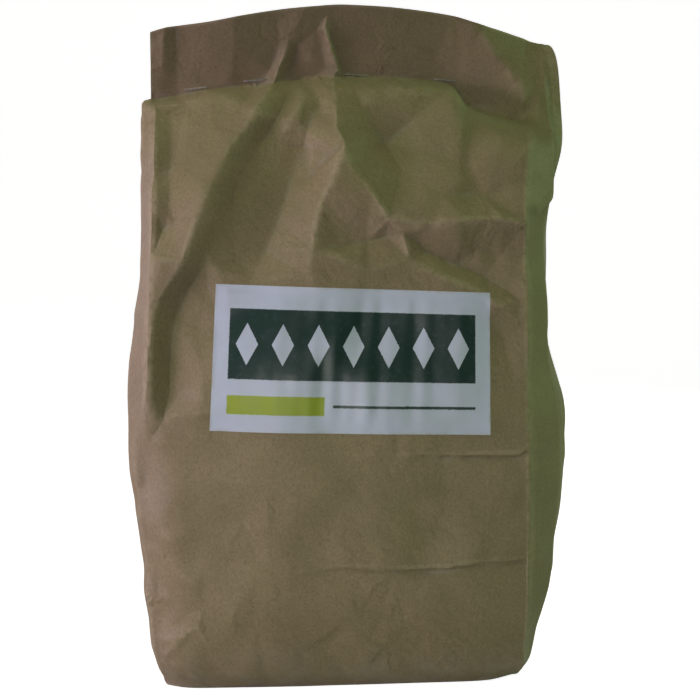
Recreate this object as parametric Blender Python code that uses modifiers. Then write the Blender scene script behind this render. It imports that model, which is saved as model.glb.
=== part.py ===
"""Small paper sack of cement: gusseted, standing on its folded bottom, stapled shut at the top.

Metres, +Z up, front panel facing -Y. A level on the sack is 0 at the floor, 1 at the crease
where the top is pinched flat, and 2 at the cut edge of the mouth.
"""
from math import radians

import bmesh
import bpy
import numpy as np
from mathutils import Matrix, Vector

# Heights
CREASE_HEIGHT = 0.332
MOUTH_HEIGHT = 0.3705
MOUTH_CORNER_HEIGHT = 0.3475

# Half widths of the front panel, as (height, distance from the middle)
LEFT_FOLD = ((0, 0.0995), (0.012, 0.1025), (0.06, 0.1065), (0.13, 0.108), (0.2, 0.1065), (0.332, 0.105))
RIGHT_FOLD = ((0, 0.0915), (0.012, 0.0935), (0.06, 0.094), (0.13, 0.0925), (0.26, 0.092), (0.332, 0.0993))

# Widest points of the side gussets, and their centre folds
LEFT_SIDE = (
    (0, 0.102), (0.012, 0.106), (0.06, 0.113), (0.12, 0.1185), (0.16, 0.1195), (0.2, 0.1175),
    (0.23, 0.113), (0.322, 0.1125), (0.329, 0.112), (0.332, 0.107),
)
RIGHT_SIDE = (
    (0, 0.096), (0.012, 0.104), (0.06, 0.1175), (0.1, 0.122), (0.14, 0.1245), (0.185, 0.1145),
    (0.255, 0.1135), (0.3, 0.1205), (0.332, 0.121),
)
LEFT_CENTRE = (
    (0, 0.102), (0.06, 0.113), (0.14, 0.119), (0.2, 0.113), (0.245, 0.096), (0.285, 0.082),
    (0.31, 0.09), (0.332, 0.108),
)
RIGHT_CENTRE = (
    (0, 0.096), (0.06, 0.117), (0.14, 0.1245), (0.19, 0.1145), (0.25, 0.1125), (0.3, 0.12), (0.332, 0.121),
)

# Where between a fold and the centre line a gusset is widest, as shares of the way, left and right,
# and how far towards its centre fold the right one is widest at the crease and at the mouth
LEFT_SPREAD = 0.4
RIGHT_SPREAD = 0.45
RIGHT_BULGE = 0.72
RIGHT_MOUTH_BULGE = 0.62

# Half depths of the filled sack: at the left fold, the middle, the knee and the right fold
LEFT_DEPTH = (
    (0, 0.0345), (0.012, 0.042), (0.06, 0.048), (0.13, 0.049), (0.2, 0.045), (0.25, 0.038),
    (0.295, 0.022), (0.332, 0.0014),
)
MIDDLE_DEPTH = (
    (0, 0.036), (0.012, 0.0445), (0.06, 0.056), (0.13, 0.06), (0.2, 0.054), (0.255, 0.044),
    (0.3, 0.028), (0.332, 0.0014),
)
KNEE_DEPTH = (
    (0, 0.036), (0.012, 0.0445), (0.06, 0.053), (0.13, 0.055), (0.2, 0.05), (0.255, 0.044),
    (0.3, 0.031), (0.332, 0.0014),
)
RIGHT_DEPTH = (
    (0, 0.0345), (0.012, 0.042), (0.06, 0.048), (0.13, 0.049), (0.2, 0.047), (0.26, 0.044),
    (0.305, 0.031), (0.332, 0.012),
)
MIDDLE_SHARE = 0.42
KNEE_SHARE = 0.82
BACK_SHARE = 0.92

# How far the crease and the mouth dip below their heights, by share across the panel
CREASE_DROP = (
    (0, 0.0125), (0.16, 0.0075), (0.33, 0.003), (0.42, 0.0005), (0.6, 0), (0.79, 0.003),
    (0.815, 0.005), (0.85, 0.014), (1, 0.024),
)
MOUTH_DROP = (
    (0, 0.0165), (0.04, 0.0135), (0.15, 0.009), (0.34, 0.0015), (0.5, 0), (0.62, 0.0008),
    (0.79, 0.0045), (0.87, 0.0088), (0.93, 0.011), (1, 0.0145),
)
DROP_START = 0.45

# The flattened top: its forward lean, its right fold and corner at the mouth, and its right end,
# which is bent back beyond a slanting line given by two points (x, height)
MOUTH_LEAN = 0.008
MOUTH_FOLD_X = 0.104
MOUTH_CORNER_X = 0.1155
MOUTH_EDGE_DEPTH = 0.0024
BEND_LINE = ((0.064, 0.372), (0.0995, 0.324))
BEND_SLOPE = 0.75
BEND_ROUNDING = 0.004

# Broad folds pressed into the front panel: start, end (x, height), half width, rise
FRONT_FOLDS = (
    ((-0.028, 0.32), (-0.099, 0.225), 0.012, -0.005),
    ((-0.042, 0.322), (-0.089, 0.238), 0.008, 0.0025),
    ((-0.008, 0.326), (-0.004, 0.28), 0.009, 0.003),
    ((-0.004, 0.298), (0.04, 0.222), 0.01, 0.003),
    ((-0.008, 0.315), (-0.042, 0.23), 0.011, 0.0025),
    ((0.026, 0.245), (0.096, 0.244), 0.009, -0.0035),
    ((-0.1, 0.255), (-0.098, 0.132), 0.008, -0.003),
)
FOLD_FADE = 0.03

# Mesh steps
FRONT_STEPS = 26
GUSSET_STEPS = 5
BODY_STEPS = 38
TOP_STEPS = 6
FOLD_ANGLE = 32

# Label: corners (x, height) from the lower left round to the upper left
LABEL_CORNERS = ((-0.0775, 0.143), (0.0715, 0.139), (0.072, 0.2145), (-0.0735, 0.2195))
LABEL_THICKNESS = 0.0003
LABEL_STEPS = (20, 10)
SEARCH_ROUNDS = 6
SLOPE_STEP = 0.01
GAP = 0.0003

# Staples: middles of the crowns, and the wire
STAPLE_MIDDLES = (-0.0832, -0.0509, 0.0058, 0.055)
STAPLE_CROWN = 0.0128
STAPLE_CLINCH = 0.0048
STAPLE_LEVEL = 1.045
WIRE_RADIUS = 0.0003
WIRE_BEND = 0.0005
HOLE_RADIUS = 0.00066
HOLE_SIDES = 16

KRAFT = (0.2, 0.152, 0.082)
STICKER = (0.52, 0.54, 0.58)
STEEL = (0.42, 0.41, 0.39)


def smooth(knots, at):
    """Monotone cubic through (position, value) knots."""
    x, y = np.array(knots, float).T
    at = np.clip(np.asarray(at, float), x[0], x[-1])
    step = np.diff(x)
    slope = np.diff(y) / step
    tangent = np.concatenate([slope[:1], np.zeros(len(x) - 2), slope[-1:]])
    for i in range(1, len(x) - 1):
        if slope[i - 1] * slope[i] > 0:
            before = 2 * step[i] + step[i - 1]
            after = step[i] + 2 * step[i - 1]
            tangent[i] = (before + after) / (before / slope[i - 1] + after / slope[i])
    i = np.clip(np.searchsorted(x, at, side="right") - 1, 0, len(step) - 1)
    t = (at - x[i]) / step[i]
    rise = y[i] * (1 + 2 * t) * (1 - t) ** 2 + y[i + 1] * t * t * (3 - 2 * t)
    return rise + step[i] * t * (1 - t) * (tangent[i] * (1 - t) - tangent[i + 1] * t)


def fold_relief(x, height, level):
    """How far the broad folds push the front panel outwards."""
    relief = np.zeros_like(x)
    for start, end, half_width, rise in FRONT_FOLDS:
        along = np.subtract(end, start)
        length = np.hypot(*along)
        run = ((x - start[0]) * along[0] + (height - start[1]) * along[1]) / length**2
        off = ((x - start[0]) * along[1] - (height - start[1]) * along[0]) / length
        ends = np.clip(1 - np.abs(2 * run - 1) ** 4, 0, 1)
        relief += rise * ends * np.exp(-((off / half_width) ** 2))
    return relief * np.clip((1 - level) * CREASE_HEIGHT / FOLD_FADE, 0, 1)


def bend_back(x, height):
    """How far the right end of the flattened top is bent back at these places."""
    start, end = np.array(BEND_LINE)
    along = (end - start) / np.hypot(*(end - start))
    beyond = (x - start[0]) * -along[1] + (height - start[1]) * along[0]
    rounded = np.sqrt(beyond**2 + BEND_ROUNDING**2) - BEND_ROUNDING
    return BEND_SLOPE * np.where(beyond > 0, rounded, 0)


def panel(share, level, outward):
    """Points across a panel at one level: outward is -1 for the front, BACK_SHARE for the back."""
    share, level = np.broadcast_arrays(np.asarray(share, float), np.asarray(level, float))
    body = np.minimum(level, 1.0) * CREASE_HEIGHT
    top = np.maximum(level - 1.0, 0.0)
    left = smooth(LEFT_FOLD, body)
    right = smooth(RIGHT_FOLD, body)
    right = right + (MOUTH_FOLD_X - right) * top
    x = (left + right) * share - left
    middle_depth = smooth(MIDDLE_DEPTH, body)
    right_depth = smooth(RIGHT_DEPTH, body)
    right_depth = right_depth + (MOUTH_EDGE_DEPTH - right_depth) * top
    depths = (smooth(LEFT_DEPTH, body), middle_depth, smooth(KNEE_DEPTH, body), right_depth)
    depth = np.empty_like(x)
    for i in np.ndindex(x.shape):
        knots = zip((0, MIDDLE_SHARE, KNEE_SHARE, 1), (values[i] for values in depths))
        depth[i] = smooth(tuple(knots), share[i])
    pinch = np.clip((level - DROP_START) / (1 - DROP_START), 0, 1) ** 2
    height = body - smooth(CREASE_DROP, share) * pinch
    height = height + (MOUTH_HEIGHT - smooth(MOUTH_DROP, share) - height) * top
    if outward < 0:
        depth = depth + fold_relief(x, height, level)
    middle_plane = np.where(top > 0, bend_back(x, height), 0) - MOUTH_LEAN * top
    return np.stack([x, outward * depth + middle_plane, height], -1)


def gusset_half(fold, widest, centre, steps):
    """Points from a panel's fold out to the widest point and on to the gusset's centre fold."""
    t = np.linspace(0, 1, steps + 1)[1:-1, None]
    out = 1 - (1 - np.minimum(2 * t, 1)) ** 2
    inward = np.maximum(2 * t - 1, 0)
    return fold + (widest - fold) * out + (centre - widest) * np.hstack([inward**2, inward, inward])


def gusset(front_fold, back_fold, side_x, centre_x, centre_height, spread):
    """Points of a side gusset from its front fold to its back fold, both left out."""
    middle_y = (front_fold[1] + back_fold[1]) / 2
    centre = np.array([centre_x, middle_y, centre_height])
    halves = []
    for fold in (front_fold, back_fold):
        widest = np.array([side_x, fold[1] + (middle_y - fold[1]) * spread, (fold[2] + centre_height) / 2])
        halves.append(gusset_half(fold, widest, centre, GUSSET_STEPS))
    return np.concatenate([halves[0], centre[None], halves[1][::-1]])


def section(level):
    """Closed ring of points round the sack at one level, anticlockwise from above."""
    shares = np.linspace(0, 1, FRONT_STEPS + 1)
    front = panel(shares, level, -1)
    back = panel(shares, level, BACK_SHARE)[::-1]
    body = min(level, 1.0) * CREASE_HEIGHT
    top = max(level - 1.0, 0.0)
    side = smooth(RIGHT_SIDE, body)
    bulge = RIGHT_BULGE + (RIGHT_MOUTH_BULGE - RIGHT_BULGE) * top
    widest = front[-1, 0] + (side - front[-1, 0]) * bulge
    centre = smooth(RIGHT_CENTRE, body)
    centre = centre + (MOUTH_CORNER_X - centre) * top**2
    widest = widest + ((front[-1, 0] + centre) / 2 - widest) * top
    corner_height = front[-1, 2] + (MOUTH_CORNER_HEIGHT - front[-1, 2]) * top
    right = gusset(front[-1], back[0], widest, centre, corner_height, RIGHT_SPREAD)
    left_side = -smooth(LEFT_SIDE, body)
    left_centre = -smooth(LEFT_CENTRE, body)
    left = gusset(back[-1], front[0], left_side, left_centre, front[0, 2], LEFT_SPREAD)
    return np.concatenate([front, right, back, left])


def label_surface_point(x, height):
    """Point of the front panel at a given x and height, and its outward normal."""
    share = 0.5
    level = height / CREASE_HEIGHT
    for _ in range(SEARCH_ROUNDS):
        point = panel(share, level, -1)
        body = level * CREASE_HEIGHT
        span = smooth(LEFT_FOLD, body) + smooth(RIGHT_FOLD, body)
        share += (x - point[0]) / span
        level += (height - point[2]) / CREASE_HEIGHT
    across = panel(share + SLOPE_STEP, level, -1) - panel(share - SLOPE_STEP, level, -1)
    upward = panel(share, level + SLOPE_STEP, -1) - panel(share, level - SLOPE_STEP, -1)
    normal = np.cross(across, upward)
    return point, normal / np.linalg.norm(normal)


def material(name, colour, roughness, metallic):
    """A plain Principled material."""
    made = bpy.data.materials.new(name)
    made.use_nodes = True
    shader = made.node_tree.nodes["Principled BSDF"]
    shader.inputs["Base Color"].default_value = (*colour, 1)
    shader.inputs["Roughness"].default_value = roughness
    shader.inputs["Metallic"].default_value = metallic
    return made


def mesh_object(name, bm, collection, finish=None):
    """A named object from a bmesh, shaded smooth between its sharp folds."""
    mesh = bpy.data.meshes.new(name)
    bmesh.ops.recalc_face_normals(bm, faces=bm.faces)
    bm.to_mesh(mesh)
    bm.free()
    mesh.shade_smooth()
    mesh.set_sharp_from_angle(angle=radians(FOLD_ANGLE))
    if finish:
        mesh.materials.append(finish)
    made = bpy.data.objects.new(name, mesh)
    collection.objects.link(made)
    return made


def make_sack(collection, finish):
    """The filled sack, lofted through its sections and closed at the bottom and the mouth."""
    body = np.linspace(0, 1, BODY_STEPS + 1)
    top = np.linspace(1, 2, TOP_STEPS + 1)[1:]
    bm = bmesh.new()
    rings = [[bm.verts.new(point) for point in section(level)] for level in np.concatenate([body, top])]
    count = len(rings[0])
    for lower, upper in zip(rings, rings[1:]):
        for i in range(count):
            j = (i + 1) % count
            bm.faces.new((lower[i], lower[j], upper[j], upper[i]))
    bm.faces.new(rings[0][::-1])
    mouth = rings[-1]
    start = count - GUSSET_STEPS
    for k in range(count // 2):
        near, far = mouth[(start + k) % count], mouth[(start + k + 1) % count]
        back_near, back_far = mouth[(start - k) % count], mouth[(start - k - 1) % count]
        corners = dict.fromkeys((near, far, back_far, back_near))
        bm.faces.new(tuple(corners))
    return mesh_object("paper_sack", bm, collection, finish)


def make_label(collection, finish):
    """The sticker, a thin sheet that lies on the front panel."""
    across, up = LABEL_STEPS
    lower_left, lower_right, upper_right, upper_left = (np.array(corner) for corner in LABEL_CORNERS)
    bm = bmesh.new()
    grid = []
    for v in np.linspace(0, 1, up + 1):
        row = []
        for u in np.linspace(0, 1, across + 1):
            low = lower_left + (lower_right - lower_left) * u
            high = upper_left + (upper_right - upper_left) * u
            point, normal = label_surface_point(*(low + (high - low) * v))
            row.append(bm.verts.new(point + normal * (GAP + LABEL_THICKNESS)))
        grid.append(row)
    for lower, upper in zip(grid, grid[1:]):
        for i in range(across):
            bm.faces.new((lower[i], lower[i + 1], upper[i + 1], upper[i]))
    label = mesh_object("label", bm, collection, finish)
    shell = label.modifiers.new("thickness", "SOLIDIFY")
    shell.thickness = LABEL_THICKNESS
    shell.offset = -1
    return label


def staple_route(middle_x):
    """Middle line of a staple's wire, from one clinched tip round the crown to the other."""
    off = GAP + WIRE_RADIUS
    half = STAPLE_CROWN / 2
    feet = []
    for x in (middle_x - half, middle_x + half):
        share = (x + LEFT_FOLD[-1][1]) / (LEFT_FOLD[-1][1] + RIGHT_FOLD[-1][1])
        front = panel(share, STAPLE_LEVEL, -1)
        back = panel(share, STAPLE_LEVEL, BACK_SHARE)
        front[0] = back[0] = x
        feet.append((Vector(front - [0, off, 0]), Vector(back + [0, off, 0])))
    (left_front, left_back), (right_front, right_back) = feet
    clinch = (right_back - left_back).normalized() * STAPLE_CLINCH
    corners = [left_back + clinch, left_back, left_front, right_front, right_back, right_back - clinch]
    return rounded(corners, WIRE_BEND)


def rounded(corners, radius):
    """The corners of a polyline, each inner one cut into a bend of three points."""
    route = [corners[0]]
    for before, corner, after in zip(corners, corners[1:], corners[2:]):
        entry = corner + (before - corner).normalized() * radius
        leave = corner + (after - corner).normalized() * radius
        route += [entry, (entry + leave + corner * 2) / 4, leave]
    return route + [corners[-1]]


def make_staple(name, middle_x, collection, finish):
    """One wire staple through the flattened top, clinched behind."""
    curve = bpy.data.curves.new(name, "CURVE")
    curve.dimensions = "3D"
    curve.bevel_depth = WIRE_RADIUS
    curve.bevel_resolution = 2
    curve.use_fill_caps = True
    curve.materials.append(finish)
    route = staple_route(middle_x)
    spline = curve.splines.new("POLY")
    spline.points.add(len(route) - 1)
    for point, place in zip(spline.points, route):
        point.co = (*place, 1)
    made = bpy.data.objects.new(name, curve)
    collection.objects.link(made)
    return made


def make_hole_cutter(collection):
    """Cylinders that pierce the flattened top where the staples' legs pass."""
    bm = bmesh.new()
    for middle_x in STAPLE_MIDDLES:
        _, _, _, left_back, _, left_front, _, _, right_front, _, right_back, *_ = staple_route(middle_x)
        for front, back in ((left_front, left_back), (right_front, right_back)):
            axis = back - front
            turn = axis.to_track_quat("Z", "Y").to_matrix().to_4x4()
            place = Matrix.Translation((front + back) / 2) @ turn
            bmesh.ops.create_cone(
                bm, cap_ends=True, segments=HOLE_SIDES, radius1=HOLE_RADIUS, radius2=HOLE_RADIUS,
                depth=axis.length * 3, matrix=place,
            )
    cutter = mesh_object("staple_holes", bm, collection)
    cutter.hide_render = True
    cutter.display_type = "WIRE"
    return cutter


def cut(target, cutter):
    """Take the cutter's shape out of the target."""
    modifier = target.modifiers.new(cutter.name, "BOOLEAN")
    modifier.operation = "DIFFERENCE"
    modifier.solver = "EXACT"
    modifier.object = cutter


def centre_on_origin(objects, everything):
    """Parent everything to one empty, moved so that the objects' box stands centred on the origin."""
    bpy.context.view_layer.update()
    graph = bpy.context.evaluated_depsgraph_get()
    corners = []
    for item in objects:
        evaluated = item.evaluated_get(graph)
        mesh = evaluated.to_mesh()
        corners += [evaluated.matrix_world @ vertex.co for vertex in mesh.vertices]
        evaluated.to_mesh_clear()
    low = np.min(corners, axis=0)
    high = np.max(corners, axis=0)
    handle = bpy.data.objects.new("sack_origin", None)
    objects[0].users_collection[0].objects.link(handle)
    handle.location = (-(low[0] + high[0]) / 2, -(low[1] + high[1]) / 2, -low[2])
    for item in everything:
        item.parent = handle


def main():
    """Build the sack, its label and its staples."""
    for old in list(bpy.data.objects):
        bpy.data.objects.remove(old)
    parts = bpy.data.collections.new("cement_sack")
    cutters = bpy.data.collections.new("cutters")
    bpy.context.scene.collection.children.link(parts)
    bpy.context.scene.collection.children.link(cutters)
    sack = make_sack(parts, material("kraft_paper", KRAFT, 0.85, 0.0))
    label = make_label(parts, material("label_paper", STICKER, 0.55, 0.0))
    steel = material("staple_steel", STEEL, 0.38, 1.0)
    staples = [
        make_staple(f"staple_{number}", middle_x, parts, steel)
        for number, middle_x in enumerate(STAPLE_MIDDLES, 1)
    ]
    holes = make_hole_cutter(cutters)
    cut(sack, holes)
    pieces = [sack, label, *staples]
    centre_on_origin(pieces, [*pieces, holes])


main()
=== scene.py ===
"""Looks of the small sack of cement: creased kraft paper, a plain printed sticker and wire staples.

Metres, in the frame of the CAD. A level on the sack is 0 at the floor, 1 at the crease where the
top is pinched flat and 2 at the cut edge of the mouth, as in the part. Creases are given in
millimetres, seen square on.
"""

import logging
from collections.abc import Sequence
from dataclasses import dataclass, field
from enum import Enum
from math import cos, pi, radians, sin

import bpy
import numpy as np
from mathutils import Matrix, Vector
from mathutils.bvhtree import BVHTree
from mathutils.geometry import delaunay_2d_cdt


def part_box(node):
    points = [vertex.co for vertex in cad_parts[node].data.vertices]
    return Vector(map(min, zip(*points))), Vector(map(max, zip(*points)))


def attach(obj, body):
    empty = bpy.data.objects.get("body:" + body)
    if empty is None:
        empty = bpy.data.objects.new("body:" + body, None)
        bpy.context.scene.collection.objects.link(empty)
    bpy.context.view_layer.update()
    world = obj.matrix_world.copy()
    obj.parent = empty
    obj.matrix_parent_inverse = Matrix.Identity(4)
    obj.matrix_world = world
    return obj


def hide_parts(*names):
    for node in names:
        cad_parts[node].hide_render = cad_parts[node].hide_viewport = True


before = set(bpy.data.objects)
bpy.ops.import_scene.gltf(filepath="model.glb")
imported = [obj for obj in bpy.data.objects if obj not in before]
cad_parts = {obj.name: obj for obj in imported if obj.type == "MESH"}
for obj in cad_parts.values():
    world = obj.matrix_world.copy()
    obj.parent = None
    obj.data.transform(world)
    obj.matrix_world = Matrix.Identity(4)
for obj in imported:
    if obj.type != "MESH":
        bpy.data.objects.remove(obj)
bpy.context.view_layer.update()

LOG = logging.getLogger("cement_bag")
MM = 0.001
TINY = 1e-9
SLACK = 1e-6

Edge = tuple[int, int]
Pair = tuple[float, float]
Knots = tuple[Pair, ...]
Point = tuple[float, float, float]
# A fold line pressed into the paper, through (across, up, outwards) points in millimetres
Crease = tuple[Point, ...]
Socket = bpy.types.NodeSocket


def smooth(positions: np.ndarray, values: np.ndarray, at: np.ndarray) -> np.ndarray:
    """Monotone cubic through knots.

    Args:
        positions: the knots' places, rising.
        values: one value for each knot, or a row of them for each place in at.
        at: where to read the curve.

    Returns:
        The curve's value at each place.
    """
    at = np.clip(np.asarray(at, float), positions[0], positions[-1])
    values = np.broadcast_to(values, (*at.shape, len(positions)))
    step = np.diff(positions)
    slope = np.diff(values, axis=-1) / step
    tangent = np.zeros(values.shape)
    tangent[..., 0] = slope[..., 0]
    tangent[..., -1] = slope[..., -1]
    before = 2 * step[1:] + step[:-1]
    after = step[1:] + 2 * step[:-1]
    with np.errstate(divide="ignore", invalid="ignore"):
        mean = (before + after) / (before / slope[..., :-1] + after / slope[..., 1:])
    same_way = slope[..., :-1] * slope[..., 1:] > 0
    tangent[..., 1:-1] = np.where(same_way, mean, 0)
    i = np.clip(np.searchsorted(positions, at, side="right") - 1, 0, len(step) - 1)
    t = (at - positions[i]) / step[i]

    def pick(rows: np.ndarray, where: np.ndarray) -> np.ndarray:
        """One entry from each row."""
        return np.take_along_axis(rows, where[..., None], -1)[..., 0]

    rise = pick(values, i) * (1 + 2 * t) * (1 - t) ** 2 + pick(values, i + 1) * t * t * (3 - 2 * t)
    return rise + step[i] * t * (1 - t) * (pick(tangent, i) * (1 - t) - pick(tangent, i + 1) * t)


def along(knots: Knots, at: np.ndarray) -> np.ndarray:
    """The monotone cubic through (place, value) pairs, read at some places."""
    places, values = np.array(knots, float).T
    return smooth(places, values, at)


def ramp(start: float, end: float, at: np.ndarray) -> np.ndarray:
    """0 before start, 1 past end, and an S curve between."""
    t = np.clip((np.asarray(at, float) - start) / (end - start), 0, 1)
    return t * t * (3 - 2 * t)


def plateau(rise: float, fall: float, at: np.ndarray) -> np.ndarray:
    """1 between rise and fall, and smoothly down to 0 at the places 0 and 1."""
    return ramp(0, rise, at) * ramp(1, fall, at)


def crowded(count: int, crowding: float) -> np.ndarray:
    """Places from 0 to 1, closer together at both ends."""
    t = np.linspace(0, 1, count + 1)
    return t - crowding * np.sin(2 * pi * t) / (2 * pi)


def blurred(grid: np.ndarray, rounds: int, wraps: bool = True) -> np.ndarray:
    """Soften a grid a little in both directions.

    Args:
        grid: one value for each row and column.
        rounds: how many times it is softened.
        wraps: whether each row runs round the sack to its first value.

    Returns:
        The softened grid.
    """
    for _ in range(rounds):
        for ends in ("wrap" if wraps else "edge", "edge"):
            padded = np.pad(grid.T, ((1, 1), (0, 0)), ends)
            grid = (padded[:-2] + 2 * padded[1:-1] + padded[2:]) / 4
    return grid


def unit(vectors: np.ndarray) -> np.ndarray:
    """Vectors made one unit long."""
    return vectors / np.maximum(np.linalg.norm(vectors, axis=-1, keepdims=True), TINY)


def extended(grid: np.ndarray) -> np.ndarray:
    """A grid with its first and its last row repeated."""
    return np.concatenate([grid[:1], grid, grid[-1:]])


@dataclass
class FacetField:
    """Relief of creased paper: flat facets between fold lines, as paper that bends but can't stretch."""

    low: Pair
    high: Pair
    creases: tuple[Crease, ...] = ()
    spacing: float = 22.0
    clearance: float = 11.0
    unrest: float = 0.15
    jitter: float = 0.42
    least_turn: float = 0.05
    seed: int = 1
    wraps: bool = False

    def __post_init__(self) -> None:
        """Work out the facets: the creases, and loose corners wherever no crease is near."""
        places: list[Pair] = []
        heights: list[float] = []
        edges: list[Edge] = []
        for crease in self.creases:
            start = len(places)
            for across, up, out in crease:
                places.append((across, up))
                heights.append(out)
            edges += [(i, i + 1) for i in range(start, len(places) - 1)]
        for place, height in self._loose_corners(np.array(places, float).reshape(-1, 2), edges):
            places.append(place)
            heights.append(height)
        found = delaunay_2d_cdt([Vector(place) for place in places], edges, [], 0, 1e-4)
        corners, _, faces, sources = found[:4]
        self.corners = np.array([corner[:] for corner in corners])
        self.heights = np.array([
            heights[source[0]] if source else self._on_edge(corner, places, heights, edges)
            for corner, source in zip(corners, sources)
        ])
        self.faces = np.array(faces)

    @staticmethod
    def _on_edge(corner: Vector, places: list[Pair], heights: list[float], edges: list[Edge]) -> float:
        """Height where two creases cross, from the first that passes there.

        Args:
            corner: the crossing's place.
            places: the creases' points.
            heights: the points' heights.
            edges: pairs of points that a crease joins.

        Returns:
            The height, or 0 away from every crease.
        """
        for i, j in edges:
            a, b = Vector(places[i]), Vector(places[j])
            t = max(0.0, min(1.0, (corner - a).dot(b - a) / (b - a).length_squared))
            if (a.lerp(b, t) - corner).length < 1e-2:
                return heights[i] + (heights[j] - heights[i]) * t
        return 0.0

    def _loose_corners(self, places: np.ndarray, edges: list[Edge]) -> list[tuple[Pair, float]]:
        """Corners spread unevenly over the field, clear of the creases.

        Args:
            places: the creases' points.
            edges: pairs of points that a crease joins.

        Returns:
            Each corner's place and height, then four level ones round the field.
        """
        random = np.random.default_rng(self.seed)
        across = np.arange(self.low[0], self.high[0] + self.spacing, self.spacing)
        up = np.arange(self.low[1], self.high[1] + self.spacing, self.spacing)
        grid = np.stack(np.meshgrid(across, up), -1).reshape(-1, 2)
        grid = grid + random.uniform(-self.jitter, self.jitter, grid.shape) * self.spacing
        height = random.uniform(-1, 1, len(grid)) * self.unrest
        if self.wraps:
            width = self.high[0] - self.low[0]
            inside = (grid[:, 0] >= self.low[0]) & (grid[:, 0] < self.high[0])
            grid, height = grid[inside], height[inside]
            grid = np.concatenate([grid, grid - [width, 0], grid + [width, 0]])
            height = np.tile(height, 3)
        keep = np.full(len(grid), True)
        for i, j in edges:
            a, b = places[i], places[j]
            t = np.clip((grid - a) @ (b - a) / max((b - a) @ (b - a), TINY), 0, 1)
            keep &= np.linalg.norm(a + t[:, None] * (b - a) - grid, axis=1) > self.clearance
        margin = 3 * self.spacing
        hull = [(x, z) for x in (self.low[0] - margin, self.high[0] + margin)
                for z in (self.low[1] - margin, self.high[1] + margin)]
        loose = [(tuple(place), value) for place, value in zip(grid[keep], height[keep])]
        return loose + [(corner, 0.0) for corner in hull]

    def folds(self) -> list[tuple[np.ndarray, np.ndarray]]:
        """Find every facet edge where the paper clearly turns.

        Returns:
            The two ends of each, in metres.
        """
        slopes: dict[Edge, list[np.ndarray]] = {}
        for face in self.faces:
            first, second, third = self.corners[face]
            sides = np.array([second - first, third - first])
            if abs(np.linalg.det(sides)) < TINY:
                continue
            rise = self.heights[face[1:]] - self.heights[face[0]]
            slope = np.linalg.solve(sides, rise)
            for i, j in zip(face, np.roll(face, -1)):
                slopes.setdefault((min(i, j), max(i, j)), []).append(slope)
        return [
            (self.corners[i] * MM, self.corners[j] * MM) for (i, j), found in slopes.items()
            if len(found) == 2 and np.linalg.norm(found[0] - found[1]) > self.least_turn
        ]

    def at(self, across: np.ndarray, up: np.ndarray) -> np.ndarray:
        """Relief at some places.

        Args:
            across: places in metres, left to right.
            up: places in metres, upwards.

        Returns:
            How far the paper stands out there, in metres.
        """
        x, z = across / MM, up / MM
        relief = np.zeros(x.shape)
        for i, j, k in self.faces:
            (ax, az), (bx, bz), (cx, cz) = self.corners[i], self.corners[j], self.corners[k]
            near = (x >= min(ax, bx, cx)) & (x <= max(ax, bx, cx))
            near &= (z >= min(az, bz, cz)) & (z <= max(az, bz, cz))
            area = (bx - ax) * (cz - az) - (cx - ax) * (bz - az)
            if not near.any() or abs(area) < TINY:
                continue
            px, pz = x[near], z[near]
            u = ((px - ax) * (cz - az) - (cx - ax) * (pz - az)) / area
            v = ((bx - ax) * (pz - az) - (px - ax) * (bz - az)) / area
            inside = (u >= -SLACK) & (v >= -SLACK) & (u + v <= 1 + SLACK)
            value = self.heights[i] * (1 - u - v) + self.heights[j] * u + self.heights[k] * v
            target = relief[near]
            target[inside] = value[inside]
            relief[near] = target
        return relief * MM


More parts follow.
